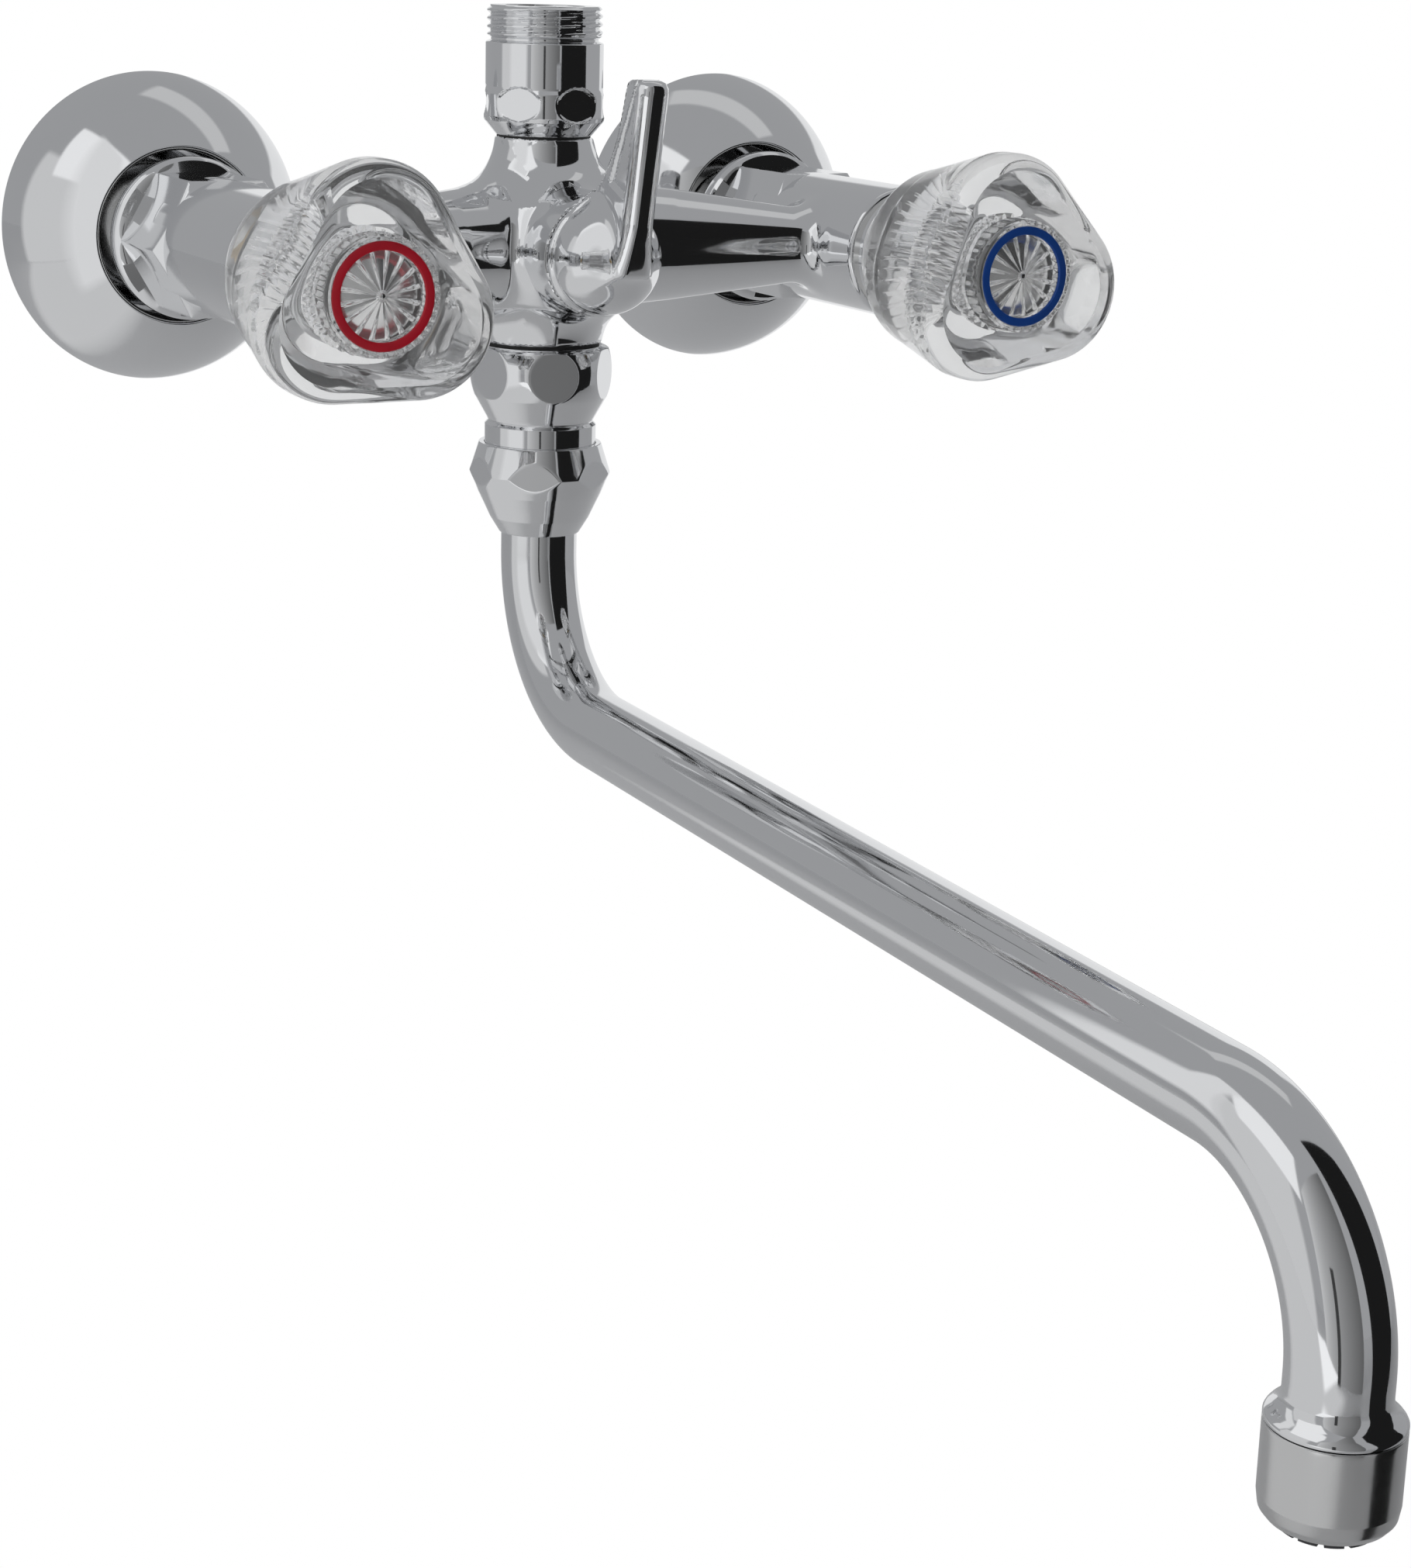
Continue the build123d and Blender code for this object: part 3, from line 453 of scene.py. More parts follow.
def added(tree, first, second):
    """The sum of two values."""
    return combined(tree, "ADD", first, second)


def mixed(tree, kind, factor, first, second):
    """One shader over another by a factor."""
    mix = tree.nodes.new("ShaderNodeMixShader")
    link(tree, factor, mix.inputs["Fac"])
    link(tree, first, mix.inputs[1])
    link(tree, second, mix.inputs[2])
    link(tree, mix.outputs["Shader"], tree.nodes[f"{kind} Output"].inputs["Surface"])


def bumped(tree, shader, height, strength, distance):
    """Lets a height roughen a shader's surface."""
    bump = tree.nodes.new("ShaderNodeBump")
    bump.inputs["Strength"].default_value = strength
    bump.inputs["Distance"].default_value = distance
    link(tree, height, bump.inputs["Height"])
    link(tree, bump.outputs["Normal"], shader.inputs["Normal"])


def plating_group():
    """Handling marks in a plated surface: faint smears in its gloss and a slight waviness."""
    found = bpy.data.node_groups.get("handled_plating")
    if found:
        return found
    inputs = {"Roughness": 0.05, "Smear": 0.04, "Waviness": 0.3, "Colour": (0.8, 0.8, 0.8, 1)}
    tree, inside, outside = group("handled_plating", inputs, ("Roughness", "Height", "Colour"))
    smear = ramp(tree, noise(tree, 70.0, 5.0, 0.65), 0.45, 0.75, 0.0, 1.0)
    gloss = added(tree, inside.outputs["Roughness"], scaled(tree, smear, inside.outputs["Smear"]))
    speck = ramp(tree, noise(tree, 900.0, 2.0), 0.62, 0.80, 0.0, 0.008)
    link(tree, added(tree, gloss, speck), outside.inputs["Roughness"])
    swell = noise(tree, 95.0, 1.0, 0.3)
    link(tree, scaled(tree, swell, inside.outputs["Waviness"]), outside.inputs["Height"])
    shade = tree.nodes.new("ShaderNodeMix")
    shade.data_type = "RGBA"
    shade.blend_type = "MULTIPLY"
    link(tree, scaled(tree, smear, 0.06), shade.inputs["Factor"])
    link(tree, inside.outputs["Colour"], shade.inputs["A"])
    shade.inputs["B"].default_value = (0.86, 0.85, 0.83, 1)
    link(tree, shade.outputs["Result"], outside.inputs["Colour"])
    return tree


def grain_group():
    """Moulded surfaces: a cloudy change of shade and gloss over a fine grain."""
    found = bpy.data.node_groups.get("moulded_grain")
    if found:
        return found
    inputs = {
        "Colour": (0.5, 0.5, 0.5, 1), "Second Colour": (0.4, 0.4, 0.4, 1), "Roughness": 0.3, "Dullness": 0.12
    }
    tree, inside, outside = group("moulded_grain", inputs, ("Colour", "Roughness", "Height"))
    cloud = ramp(tree, noise(tree, 160.0, 4.0), 0.35, 0.7, 0.0, 1.0)
    shade = tree.nodes.new("ShaderNodeMix")
    shade.data_type = "RGBA"
    link(tree, cloud, shade.inputs["Factor"])
    link(tree, inside.outputs["Colour"], shade.inputs["A"])
    link(tree, inside.outputs["Second Colour"], shade.inputs["B"])
    link(tree, shade.outputs["Result"], outside.inputs["Colour"])
    dulled = added(tree, inside.outputs["Roughness"], scaled(tree, cloud, inside.outputs["Dullness"]))
    link(tree, dulled, outside.inputs["Roughness"])
    link(tree, noise(tree, 2600.0, 2.0), outside.inputs["Height"])
    return tree


def new_material(name):
    """A material with its node tree and its Principled shader."""
    surface = bpy.data.materials.new(name)
    surface.use_nodes = True
    return surface, surface.node_tree, surface.node_tree.nodes["Principled BSDF"]


def skinned(name, shared, values, strength, distance):
    """A material whose colour, gloss and bump come from a shared node group."""
    surface, tree, shader = new_material(name)
    skin = tree.nodes.new("ShaderNodeGroup")
    skin.node_tree = shared
    for label, value in values.items():
        skin.inputs[label].default_value = value
    bumped(tree, shader, skin.outputs["Height"], strength, distance)
    link(tree, skin.outputs["Colour"], shader.inputs["Base Color"])
    link(tree, skin.outputs["Roughness"], shader.inputs["Roughness"])
    return surface, shader


def plated(name, colour, roughness, smear, waviness):
    """A plated or bare metal with handling marks and a slight waviness."""
    values = {"Roughness": roughness, "Smear": smear, "Waviness": waviness, "Colour": (*colour, 1)}
    surface, shader = skinned(name, plating_group(), values, 1.0, MM)
    shader.inputs["Metallic"].default_value = 1.0
    return surface


def moulded(name, colour, roughness, grain, coat=0.0):
    """A plastic, rubber or fibre with a fine grain and a slight change of shade."""
    second = [0.82 * part for part in colour]
    values = {"Colour": (*colour, 1), "Second Colour": (*second, 1), "Roughness": roughness}
    surface, shader = skinned(name, grain_group(), values, 0.5, grain * MM)
    shader.inputs["Coat Weight"].default_value = coat
    shader.inputs["Coat Roughness"].default_value = 0.06
    return surface


def crystal(name):
    """Clear polished acrylic with faint moulding flow in its surface."""
    surface, tree, shader = new_material(name)
    shader.inputs["Base Color"].default_value = (*finish().acrylic, 1)
    shader.inputs["Transmission Weight"].default_value = 0.88
    shader.inputs["IOR"].default_value = 1.33
    flow = noise(tree, 60.0, 2.0, 0.4)
    link(tree, ramp(tree, flow, 0.3, 0.7, 0.01, 0.04), shader.inputs["Roughness"])
    bumped(tree, shader, flow, 0.6, 0.25 * MM)
    return surface


def material(slot):
    """The finish of a material slot, made once."""
    name = f"{slot}_finish"
    found = bpy.data.materials.get(name)
    if found:
        return found
    look = finish()
    # Colour, roughness, smear and waviness
    metals = {
        "chrome_plate": (look.chrome, look.chrome_roughness, 0.03, 0.02),
        "satin_chrome": ((0.66, 0.66, 0.66), 0.15, 0.08, 0.04),
        "plated_brass": ((0.68, 0.68, 0.67), 0.14, 0.10, 0.08),
        "bare_brass": ((0.72, 0.52, 0.24), 0.24, 0.12, 0.10),
        "screw_steel": ((0.56, 0.57, 0.58), 0.28, 0.12, 0.10),
        "bright_foil": ((0.93, 0.93, 0.93), 0.10, 0.10, 0.02),
    }
    # Colour, roughness, grain in millimetres and coat
    plastics = {
        "black_rubber": ((0.02, 0.02, 0.02), 0.55, 0.10),
        "fibre": ((0.22, 0.07, 0.04), 0.75, 0.30),
        "dark_plastic": ((0.05, 0.05, 0.055), 0.35, 0.06),
        "red_plastic": (look.hot, 0.30, 0.02, 0.1),
        "blue_plastic": (look.cold, 0.30, 0.02, 0.1),
    }
    if slot in metals:
        return plated(name, *metals[slot])
    if slot in plastics:
        return moulded(name, *plastics[slot])
    return crystal(name)


# Smooth castings, grown on distance functions

def length(*parts):
    """The length of vectors given by their parts."""
    return np.sqrt(sum(part * part for part in parts))


def rod(across, along, radius, start, end, edge):
    """The distance to a rod with rounded rims, from its distances across and along its axis."""
    return cut_by(across - radius, np.maximum(start - along, along - end), edge)


def casting_distance(points, blend):
    """The distance to the cast body's outer surface, in millimetres."""
    x, y, z = points.T
    from_barrel = length(x, y - BARREL_Y)
    barrel = rod(from_barrel, z, BARREL_RADIUS, BODY_BOTTOM, 4.0, 0.8)
    neck = rod(from_barrel, z, NECK_RADIUS, -4.0, BODY_TOP, 0.8)
    solid = rod(length(x, z), -y, BOSS_RADIUS, -BARREL_Y, BOSS_FRONT, 0.3)
    for side in (-1, 1):
        reach = hypot(INLET_X, ARM_SWEEP)
        run = np.array([side * INLET_X, -ARM_SWEEP]) / reach
        along = x * run[0] + (y - BARREL_Y) * run[1]
        across = length(x * run[1] - (y - BARREL_Y) * run[0], z)
        radius = np.interp(along, ARM_DISTANCES, ARM_RADII)
        taper = np.maximum((across - radius) * 0.985, np.maximum(-along, along - reach))
        end = rod(length(x - side * INLET_X, z), -y, BODY_END_RADIUS, BODY_BACK, BODY_FRONT, 1.6)
        solid = joined(solid, joined(taper, end, blend), blend)
    return joined(joined(solid, barrel, 2.2 * blend), neck, 2.8 * blend)


def applied(piece):
    """A new mesh with the piece's modifiers applied."""
    bpy.context.view_layer.update()
    graph = bpy.context.evaluated_depsgraph_get()
    return bpy.data.meshes.new_from_object(piece.evaluated_get(graph))


def fetched(items, name, width=1, kind=float):
    """An attribute of a mesh's points, edges or faces as an array."""
    values = np.empty(len(items) * width, kind)
    items.foreach_get(name, values)
    return values.reshape(-1, width) if width > 1 else values


def slope(points, distance, step=0.02):
    """The gradient of a distance function."""
    parts = []
    for axis in range(3):
        offset = np.zeros(3)
        offset[axis] = step
        parts.append((distance(points + offset) - distance(points - offset)) / (2 * step))
    return np.stack(parts, -1)


def steepest(points, distance):
    """The direction in which a distance function grows, as unit vectors."""
    uphill = slope(points, distance)
    return uphill / (np.linalg.norm(uphill, axis=1, keepdims=True) + 1e-9)


def settled(points, distance):
    """The points moved onto the zero level."""
    for _ in range(3):
        away = distance(points)
        uphill = slope(points, distance)
        steep = np.maximum((uphill**2).sum(-1), 0.2)
        points = points - np.clip(away / steep, -1.0, 1.0)[:, None] * uphill
    return points


def evened(points, ends, distance):
    """The points moved along the surface towards the middle of their neighbours."""
    total = np.zeros_like(points)
    count = np.zeros(len(points))
    for here, there in ((0, 1), (1, 0)):
        np.add.at(total, ends[:, here], points[ends[:, there]])
        np.add.at(count, ends[:, here], 1)
    shift = total / count[:, None] - points
    uphill = steepest(points, distance)
    shift -= (shift * uphill).sum(-1, keepdims=True) * uphill
    return points + 0.6 * shift


def soften(mesh, distance):
    """Shades the outer surface by the slope of its distance function, and cut faces flat."""
    faces = mesh.polygons
    faces.foreach_set("use_smooth", [True] * len(faces))
    points = fetched(mesh.vertices, "co", 3) / MM
    on_surface = np.abs(distance(points)) < 0.05
    corner = fetched(mesh.loops, "vertex_index", kind=np.int64)
    face_of = np.repeat(np.arange(len(faces)), fetched(faces, "loop_total", kind=np.int64))
    flat = fetched(faces, "normal", 3)[face_of]
    outer = np.ones(len(faces), bool)
    np.logical_and.at(outer, face_of, on_surface[corner])
    uphill = steepest(points, distance)[corner]
    agree = (uphill * flat).sum(-1) > 0.6
    normals = np.where((outer[face_of] & agree)[:, None], uphill, flat)
    mesh.normals_split_custom_set(normals.tolist())


def grown(name, node, distance, seed, voxel, body, cutters):
    """A smooth chromed mesh on the zero level of a distance function, grown from a rough seed."""
    grid = seed.modifiers.new("grid", "REMESH")
    grid.mode = "VOXEL"
    grid.voxel_size = voxel * MM
    mesh = applied(seed)
    points = fetched(mesh.vertices, "co", 3) / MM
    ends = fetched(mesh.edges, "vertices", 2, np.int64)
    for _ in range(4):
        points = evened(settled(points, distance), ends, distance)
    points = settled(settled(points, distance), distance)
    mesh.vertices.foreach_set("co", (points * MM).ravel())
    mesh.update()
    bpy.data.objects.remove(seed)
    piece = shown(name, mesh)
    for tool in cutters:
        hollow = piece.modifiers.new("hollow", "BOOLEAN")
        hollow.operation = "DIFFERENCE"
        hollow.solver = "MANIFOLD"
        hollow.object = tool
    piece.data = applied(piece)
    piece.modifiers.clear()
    for tool in cutters:
        bpy.data.objects.remove(tool)
    soften(piece.data, distance)
    dress(piece, body, "chrome_plate", node)


def rods(name, parts):
    """One rough mesh of rods, each given by its two ends and its one or two radii in millimetres."""
    work = bmesh.new()
    for start, end, *radii in parts:
        start, end = Vector(start), Vector(end)
        run = end - start
        turn = Vector((0, 0, 1)).rotation_difference(run).to_matrix().to_4x4()
        bmesh.ops.create_cone(
            work,
            cap_ends=True,
            segments=64,
            radius1=radii[0] * MM,
            radius2=radii[-1] * MM,
            depth=run.length * MM,
            matrix=Matrix.Translation((start + end) / 2 * MM) @ turn,
        )
    mesh = bpy.data.meshes.new(name)
    work.to_mesh(mesh)
    work.free()
    return shown(name, mesh)


def upright(start, end, *radii):
    """A rod on the barrel's axis between two heights."""
    return (0, BARREL_Y, start), (0, BARREL_Y, end), *radii


def level(x, start, end, *radii):
    """A rod at x between two distances from the wall."""
    return (x, -start, 0), (x, -end, 0), *radii


class MIXER_OT_casting(bpy.types.Operator):
    """Grows the cast body with its blended arms, boss and barrel."""

    bl_idname = "mixer.casting"
    bl_label = "Cast body"

    def execute(self, context):
        parts = [
            upright(BODY_BOTTOM, 6, 14.0),
            upright(0, BODY_TOP, 12.0, 11.0),
            level(0, -BARREL_Y, BOSS_FRONT, 13.5),
        ]
        holes = [
            upright(-14, 14, 9.0),
            upright(BODY_BOTTOM - 1, BODY_BOTTOM + 4.9, 10.4),
            upright(BODY_TOP - 6.2, BODY_TOP + 1, 8.6),
            upright(-20, 20, 6.5),
            level(0, -BARREL_Y, BOSS_FRONT - 12, 7.0),
            level(0, BOSS_FRONT - 12.7, BOSS_FRONT + 1, 10.0),
        ]
        for x in (-INLET_X, INLET_X):
            parts.append(((0, BARREL_Y, 0), (x, BARREL_Y - ARM_SWEEP, 0), 15.5, 8.0))
            parts.append(level(x, BODY_BACK, BODY_FRONT, BODY_END_RADIUS))
            holes.append(level(x, BODY_BACK - 1, BODY_BACK + 7.5, 10.7))
            holes.append(level(x, BODY_BACK, BODY_BACK + 15, 6.5))
            holes.append(level(x, BODY_BACK + 10.5, BODY_FRONT - 13, 10.2))
            holes.append(level(x, BODY_FRONT - 14, BODY_FRONT + 1, 11.0))
        cutters = [rods(f"bore_{index}", [hole]) for index, hole in enumerate(holes)]
        blend = sizes().casting_blend
        seed = rods("casting_seed", parts)
        grown(
            "cast_body", "body_casting", lambda points: casting_distance(points, blend), seed,
            sizes().casting_voxel, "root", cutters,
        )
        return {"FINISHED"}


class MIXER_OT_escutcheons(bpy.types.Operator):
    """Turns the two dome escutcheons with their rolled lips."""

    bl_idname = "mixer.escutcheons"
    bl_label = "Escutcheons"

    def execute(self, context):
        for side in SIDES:
            node = f"{side}_escutcheon"
            sink = sqrt(DOME_RADIUS**2 - ((high(node, 0) - low(node, 0)) / 2) ** 2)

            def arc(radius, start, end):
                return [(radius * cos(a), radius * sin(a) - sink, 0) for a in np.linspace(start, end, 48)]

            outer = arc(DOME_RADIUS, np.arcsin(sink / DOME_RADIUS), np.arccos(LIP_RADIUS / DOME_RADIUS))
            inside = DOME_RADIUS - DOME_WALL
            foot = LIP_RADIUS + 0.2
            inner = arc(inside, np.arccos(foot / inside), np.arcsin((sink + 0.01) / inside))
            top, well = outer[-1][1], LIP_RADIUS - LIP_WALL
            corners = outer + [
                (LIP_RADIUS - 0.35, top - 0.05, 0), (LIP_RADIUS - 0.9, top - 0.5, 0), (well, top - 1.3, 0),
                (well, 12.0, 0.3), (13.25, 12.0, 0.3), (13.25, 8.0, 0.3), (15.0, 8.0, 0.3),
                (15.0, 10.7, 0.3), (foot, 10.7, 0.3),
            ] + inner
            turned(f"{side}_dome", node, corners, outward(node))
        return {"FINISHED"}


class MIXER_OT_union_nuts(bpy.types.Operator):
    """Mills the two inlet union nuts with their collars and chamfered flats."""

    bl_idname = "mixer.union_nuts"
    bl_label = "Union nuts"

    def execute(self, context):
        hexagon = flats(30.0, 30.0, 14.0)
        for side in SIDES:
            node = f"{side}_inlet_nut"
            back, front = depths(node)
            corners = [
                (13.2, back), (17.4, back), (18.5, back + 1.2, 1.0), (18.5, back + 4.2, 0.8),
                (17.3, back + 5.4, 0.3), (17.35, back + 6.0, 0.1), (17.35, front - 1.6, 0.2),
                (15.1, front, 0.3), (11.1, front), (11.1, front - 5.4), (13.2, front - 5.4),
            ]

            def milled(angle, radius, height):
                return np.where(height > back + 5.3, hexagon(angle, radius, height), radius)

            turned(f"{side}_union_nut", node, corners, outward(node), shape=milled, step=0.6, segments=360)
        return {"FINISHED"}


class MIXER_OT_riser(bpy.types.Operator):
    """Turns the riser nipple with its band of flats and its thread."""

    bl_idname = "mixer.riser"
    bl_label = "Riser nipple"

    def execute(self, context):
        base, bottom, top = high("riser_washer", 2), low("riser_nipple", 2), high("riser_nipple", 2)
        band, band_top, shank_top = base + 3.2, base + 10.4, base + 21.1
        corners = [
            (6.5, bottom), (8.5, bottom), (8.5, base, 0.1), (11.0, base, 0.3), (13.7, band, 0.6),
            (14.1, band + 1.0, 0.6), (14.1, band_top - 1.0, 0.6), (13.6, band_top, 0.3),
            (13.5, band_top + 0.4, 0.1), (13.5, shank_top - 0.5, 0.4), (12.3, shank_top, 0.1),
            (12.3, shank_top + 0.5, 0.1), (13.2, shank_top + 1.1, 0.2), (13.2, top - 0.7, 0.2),
            (12.5, top, 0.2), (9.3, top, 0.4), (9.2, top - 0.5), (9.2, band), (6.5, band),
        ]
        screw = thread(shank_top + 0.9, top, 11.5)
        facet = round_facets(14.1, 12.95, 9.5 - 90, (band + band_top) / 2 + 0.4, 3.9)

        def shape(angle, radius, height):
            return screw(angle, facet(angle, radius, height), height)

        turned("riser_nipple_shell", "riser_nipple", corners, on_barrel, shape=shape, step=0.18, segments=240)
        return {"FINISHED"}


class MIXER_OT_adaptor(bpy.types.Operator):
    """Turns the ball-shaped spout adaptor with its round flats, waist and thread."""

    bl_idname = "mixer.adaptor"
    bl_label = "Spout adaptor"

    def execute(self, context):
        top = low("adaptor_washer", 2)
        bottom, spigot = low("spout_adaptor", 2), high("spout_adaptor", 2)
        ball = top - BALL_DROP
        waist = ball - 11.9
        corners = [(7.5, spigot), (10.3, spigot), (10.3, top, 0), (14.3, top, 0.4), (15.4, top - 0.5, 0)]
        corners += [(sqrt(BALL_RADIUS**2 - dz**2), ball + dz, 0) for dz in np.linspace(5.3, -5.9, 24)]
        corners += [
            (12.75, ball - 11.0, 0.3), (12.3, waist, 0.2), (13.1, ball - 12.7, 0.2), (13.1, bottom + 0.8, 0.2),
            (12.3, bottom, 0.3), (9.25, bottom), (9.25, bottom + 20.0), (7.5, bottom + 20.0),
        ]
        screw = thread(ball - 12.7, bottom + 0.4, 11.8)
        hexagon = flats(31.16, -12.8 - 90, 13.3, 0.12)
        no_thread = 1000.0

        def shape(angle, radius, height):
            threaded = screw(angle, radius, np.where(height < waist, height, no_thread))
            return hexagon(angle, threaded, height)

        turned("spout_adaptor_shell", "spout_adaptor", corners, on_barrel, shape=shape, step=0.22, segments=360)
        return {"FINISHED"}


class MIXER_OT_spout_nut(bpy.types.Operator):
    """Mills the spout's union nut, wide at its shoulder and tapering down to the tube."""

    bl_idname = "mixer.spout_nut"
    bl_label = "Spout nut"

    def execute(self, context):
        top, end = high("spout_nut", 2), low("spout_nut", 2)
        wide = top - 7.0
        corners = [
            (13.2, top, 0.2), (14.4, top, 0.3), (16.3, wide + 1.0, 0.3), (16.6, wide, 0.4),
            (15.8, wide - 1.8, 0.2), (14.6, wide - 4.8, 0.3), (13.2, wide - 7.7, 0.3),
            (11.8, wide - 10.7, 0.3), (10.0, wide - 13.6, 0.2), (9.5, end, 0.3), (9.1, end, 0.1),
            (9.1, end + 10.6), (11.8, end + 10.6), (11.8, end + 13.2), (13.2, end + 13.3),
        ]
        hexagon = flats(30.8, -29.5 - 90, 13.3, 0.15)
        turned("spout_union_nut", "spout_nut", corners, on_barrel, shape=hexagon, step=0.25, segments=360)
        return {"FINISHED"}


class MIXER_OT_spout(bpy.types.Operator):
    """Bends the long spout and flares its outlet collar."""

    bl_idname = "mixer.spout"
    bl_label = "Swivel spout"

    def execute(self, context):
        line = self.course()
        seam = line[-1][1] + OUTLET_DROP - OUTLET_LENGTH
        # Heights from the seam and radii, down the collar and the spigot
        flare = (
            (4.6, 9.05), (4.0, 9.2), (3.2, 9.6), (2.4, 10.4), (1.8, 11.1), (1.3, 11.5), (0.9, 11.7),
            (0.5, 11.72), (0.2, 11.66), (0.02, 11.4), (0.0, 10.2), (-0.3, 10.15), (-4.8, 10.15), (-5.0, 9.9),
        )
        outside = [SPOUT_RADIUS] * len(line) + [radius for _, radius in flare]
        line = np.array(line + [(line[-1][0], seam + height) for height, _ in flare])
        radii = np.array(outside + [SPOUT_RADIUS - SPOUT_WALL] * len(line))[:, None]
        heading = np.gradient(line, axis=0)
        line, heading = (np.vstack([rows, rows[::-1]]) for rows in (line, heading))
        heading /= np.linalg.norm(heading, axis=1, keepdims=True) + 1e-12
        angle = np.linspace(0, 2 * pi, 128, endpoint=False)[None, :]
        side = np.cos(angle) * radii
        lift = np.sin(angle) * radii
        forward = line[:, :1] + lift * heading[:, 1:]
        up = line[:, 1:] - lift * heading[:, :1]
        aside = middle("aerator_housing", 0) / (BARREL_Y - middle("aerator_housing", 1))
        points = np.stack([side + forward * aside, side * aside - forward, up], -1)
        ringed("swivel_spout", on_barrel(points), "spout", "chrome_plate", "spout_tube")
        return {"FINISHED"}

    def course(self):
        """The tube's middle line as (forward, up) points from its top to the outlet."""
        top = high("spout_tube", 2)
        turn = pi / 2 - SPOUT_FALL
        line = [(0.0, top), (0.0, top - 5)]
        line += [(0.0, z) for z in np.linspace(top - 10, SPOUT_BEND_START + 0.2, 24)]
        for tilt in np.linspace(0, 1, 64) * turn:
            forward = SPOUT_BACK_BEND - SPOUT_BACK_BEND * cos(tilt)
            line.append((forward, SPOUT_BEND_START - SPOUT_BACK_BEND * sin(tilt)))
        forward, down = line[-1]
        for reach in np.linspace(0, 1, 120)[1:] * SPOUT_RUN:
            line.append((forward + reach * sin(turn), down - reach * cos(turn)))
        forward = line[-1][0] - SPOUT_FRONT_BEND * cos(turn)
        down = line[-1][1] - SPOUT_FRONT_BEND * sin(turn)
        for share in np.linspace(0, 1, 64)[1:]:
            tilt = turn * (1 - share)
            line.append((forward + SPOUT_FRONT_BEND * cos(tilt), down + SPOUT_FRONT_BEND * sin(tilt)))
        return line + [(line[-1][0], line[-1][1] - OUTLET_DROP)]


class MIXER_OT_aerator(bpy.types.Operator):
    """Turns the aerator's rounded housing and its dark notched insert."""

    bl_idname = "mixer.aerator"
    bl_label = "Aerator"

    def execute(self, context):
        shift = np.array([middle("aerator_housing", 0), middle("aerator_housing", 1) - BARREL_Y, 0])

        def place(points):
            return on_barrel(points + shift)

        top, bottom = high("aerator_housing", 2), low("aerator_housing", 2)
        corners = [
            (10.3, top), (11.72, top, 0.25), (11.72, bottom + 4.2, 0.5), (11.35, bottom + 1.8, 0.8),
            (10.3, bottom + 0.5, 0.6), (9.4, bottom, 0.3), (8.6, bottom, 0.2), (8.6, bottom + 8.8),
            (10.3, bottom + 8.8),
        ]
        turned("aerator_shell", "aerator_housing", corners, place, "spout", "satin_chrome", step=0.8)
        top, bottom = high("aerator_insert", 2), low("aerator_insert", 2)
        floor, half_notch = 7.3, 0.13
        corners = [
            (5.7, top), (10.2, top), (10.2, top - 1.9), (8.45, top - 2.1), (8.45, bottom, 0.25),
            (7.1, bottom, 0.25), (7.1, bottom + 7.0), (5.7, bottom + 7.0),
        ]

        def notched(angle, radius, height):
            notch = np.abs((angle * AERATOR_NOTCHES / (2 * pi)) % 1 - 0.5) < half_notch
            return np.where(notch & (height < bottom + 1.8) & (radius > floor), floor, radius)

        turned(
            "aerator_core", "aerator_insert", corners, place, "spout", "dark_plastic",
            shape=notched, step=0.3, segments=360,
        )
        return {"FINISHED"}


def eased(value, span):
    """How much of a span a value has passed, with a soft start and end."""
    share = portion(value, span)
    return share * share * (3 - 2 * share)


def lever_distance(points):
    """The distance to the lever's domed hub and its blade with a pocket in each side, in millimetres."""
    x, y, z = points.T
    x = np.abs(x)
    out = -y - LEVER_BACK
    across = length(x, z)
    dome = length(across, np.maximum(out - 3.1, 0)) - 12.4
    collar = cut_by(across - 13.1, out - 1.5, 0.5)
    hub = cut_by(joined(dome, collar, 1.0), -out, 0.2)
    # The blade's front leans out as it rises, and bevels run back from its narrow spine
    lean = 0.2195
    foot = np.clip((9.0 - z) / 9.0, 0, 1.3)
    front = 18.9 + lean * z - 0.7 * foot**2
    bevel = 0.78 * (x - 2.1 - 0.7 * foot) + 0.626 * (out - front)
    spine = cut_by((out - front) / hypot(1, lean), bevel, 1.25)
    # The rear edge bends where the blade leaves the hub's heel
    bend_height, bend_reach = 25.3, 12.9
    upper = (bend_reach + 0.386 * (z - bend_height) - out) / 1.07
    heel = (bend_reach + 0.98 * (z - bend_height) - out) / 1.40
    rear = joined(upper, heel, 2.5)
    # The pocket in each side, with soft walls at its front, its heel and its foot
    pocket_foot, pocket_back = z - 16.9, out - 9.4
    pocket = eased(front - 3.6 - out, 0.5)
    pocket *= eased(pocket_back - 0.60 * pocket_foot, 1.1) * eased(pocket_foot + 0.32 * pocket_back, 1.6)
    half = np.clip(3.7 - 0.06 * (front - 2.7 - out), 3.0, 3.7) - 0.75 * pocket
    above = z - LEVER_TOP
    sides = cut_by(cut_by((x - half) * 0.9, rear, 1.0), above, 1.2)
    blade = cut_by(cut_by(spine, above, 3.4), sides, 0.4)
    return joined(hub, cut_by(blade, -z - 2.4, 0.8), 5.0)


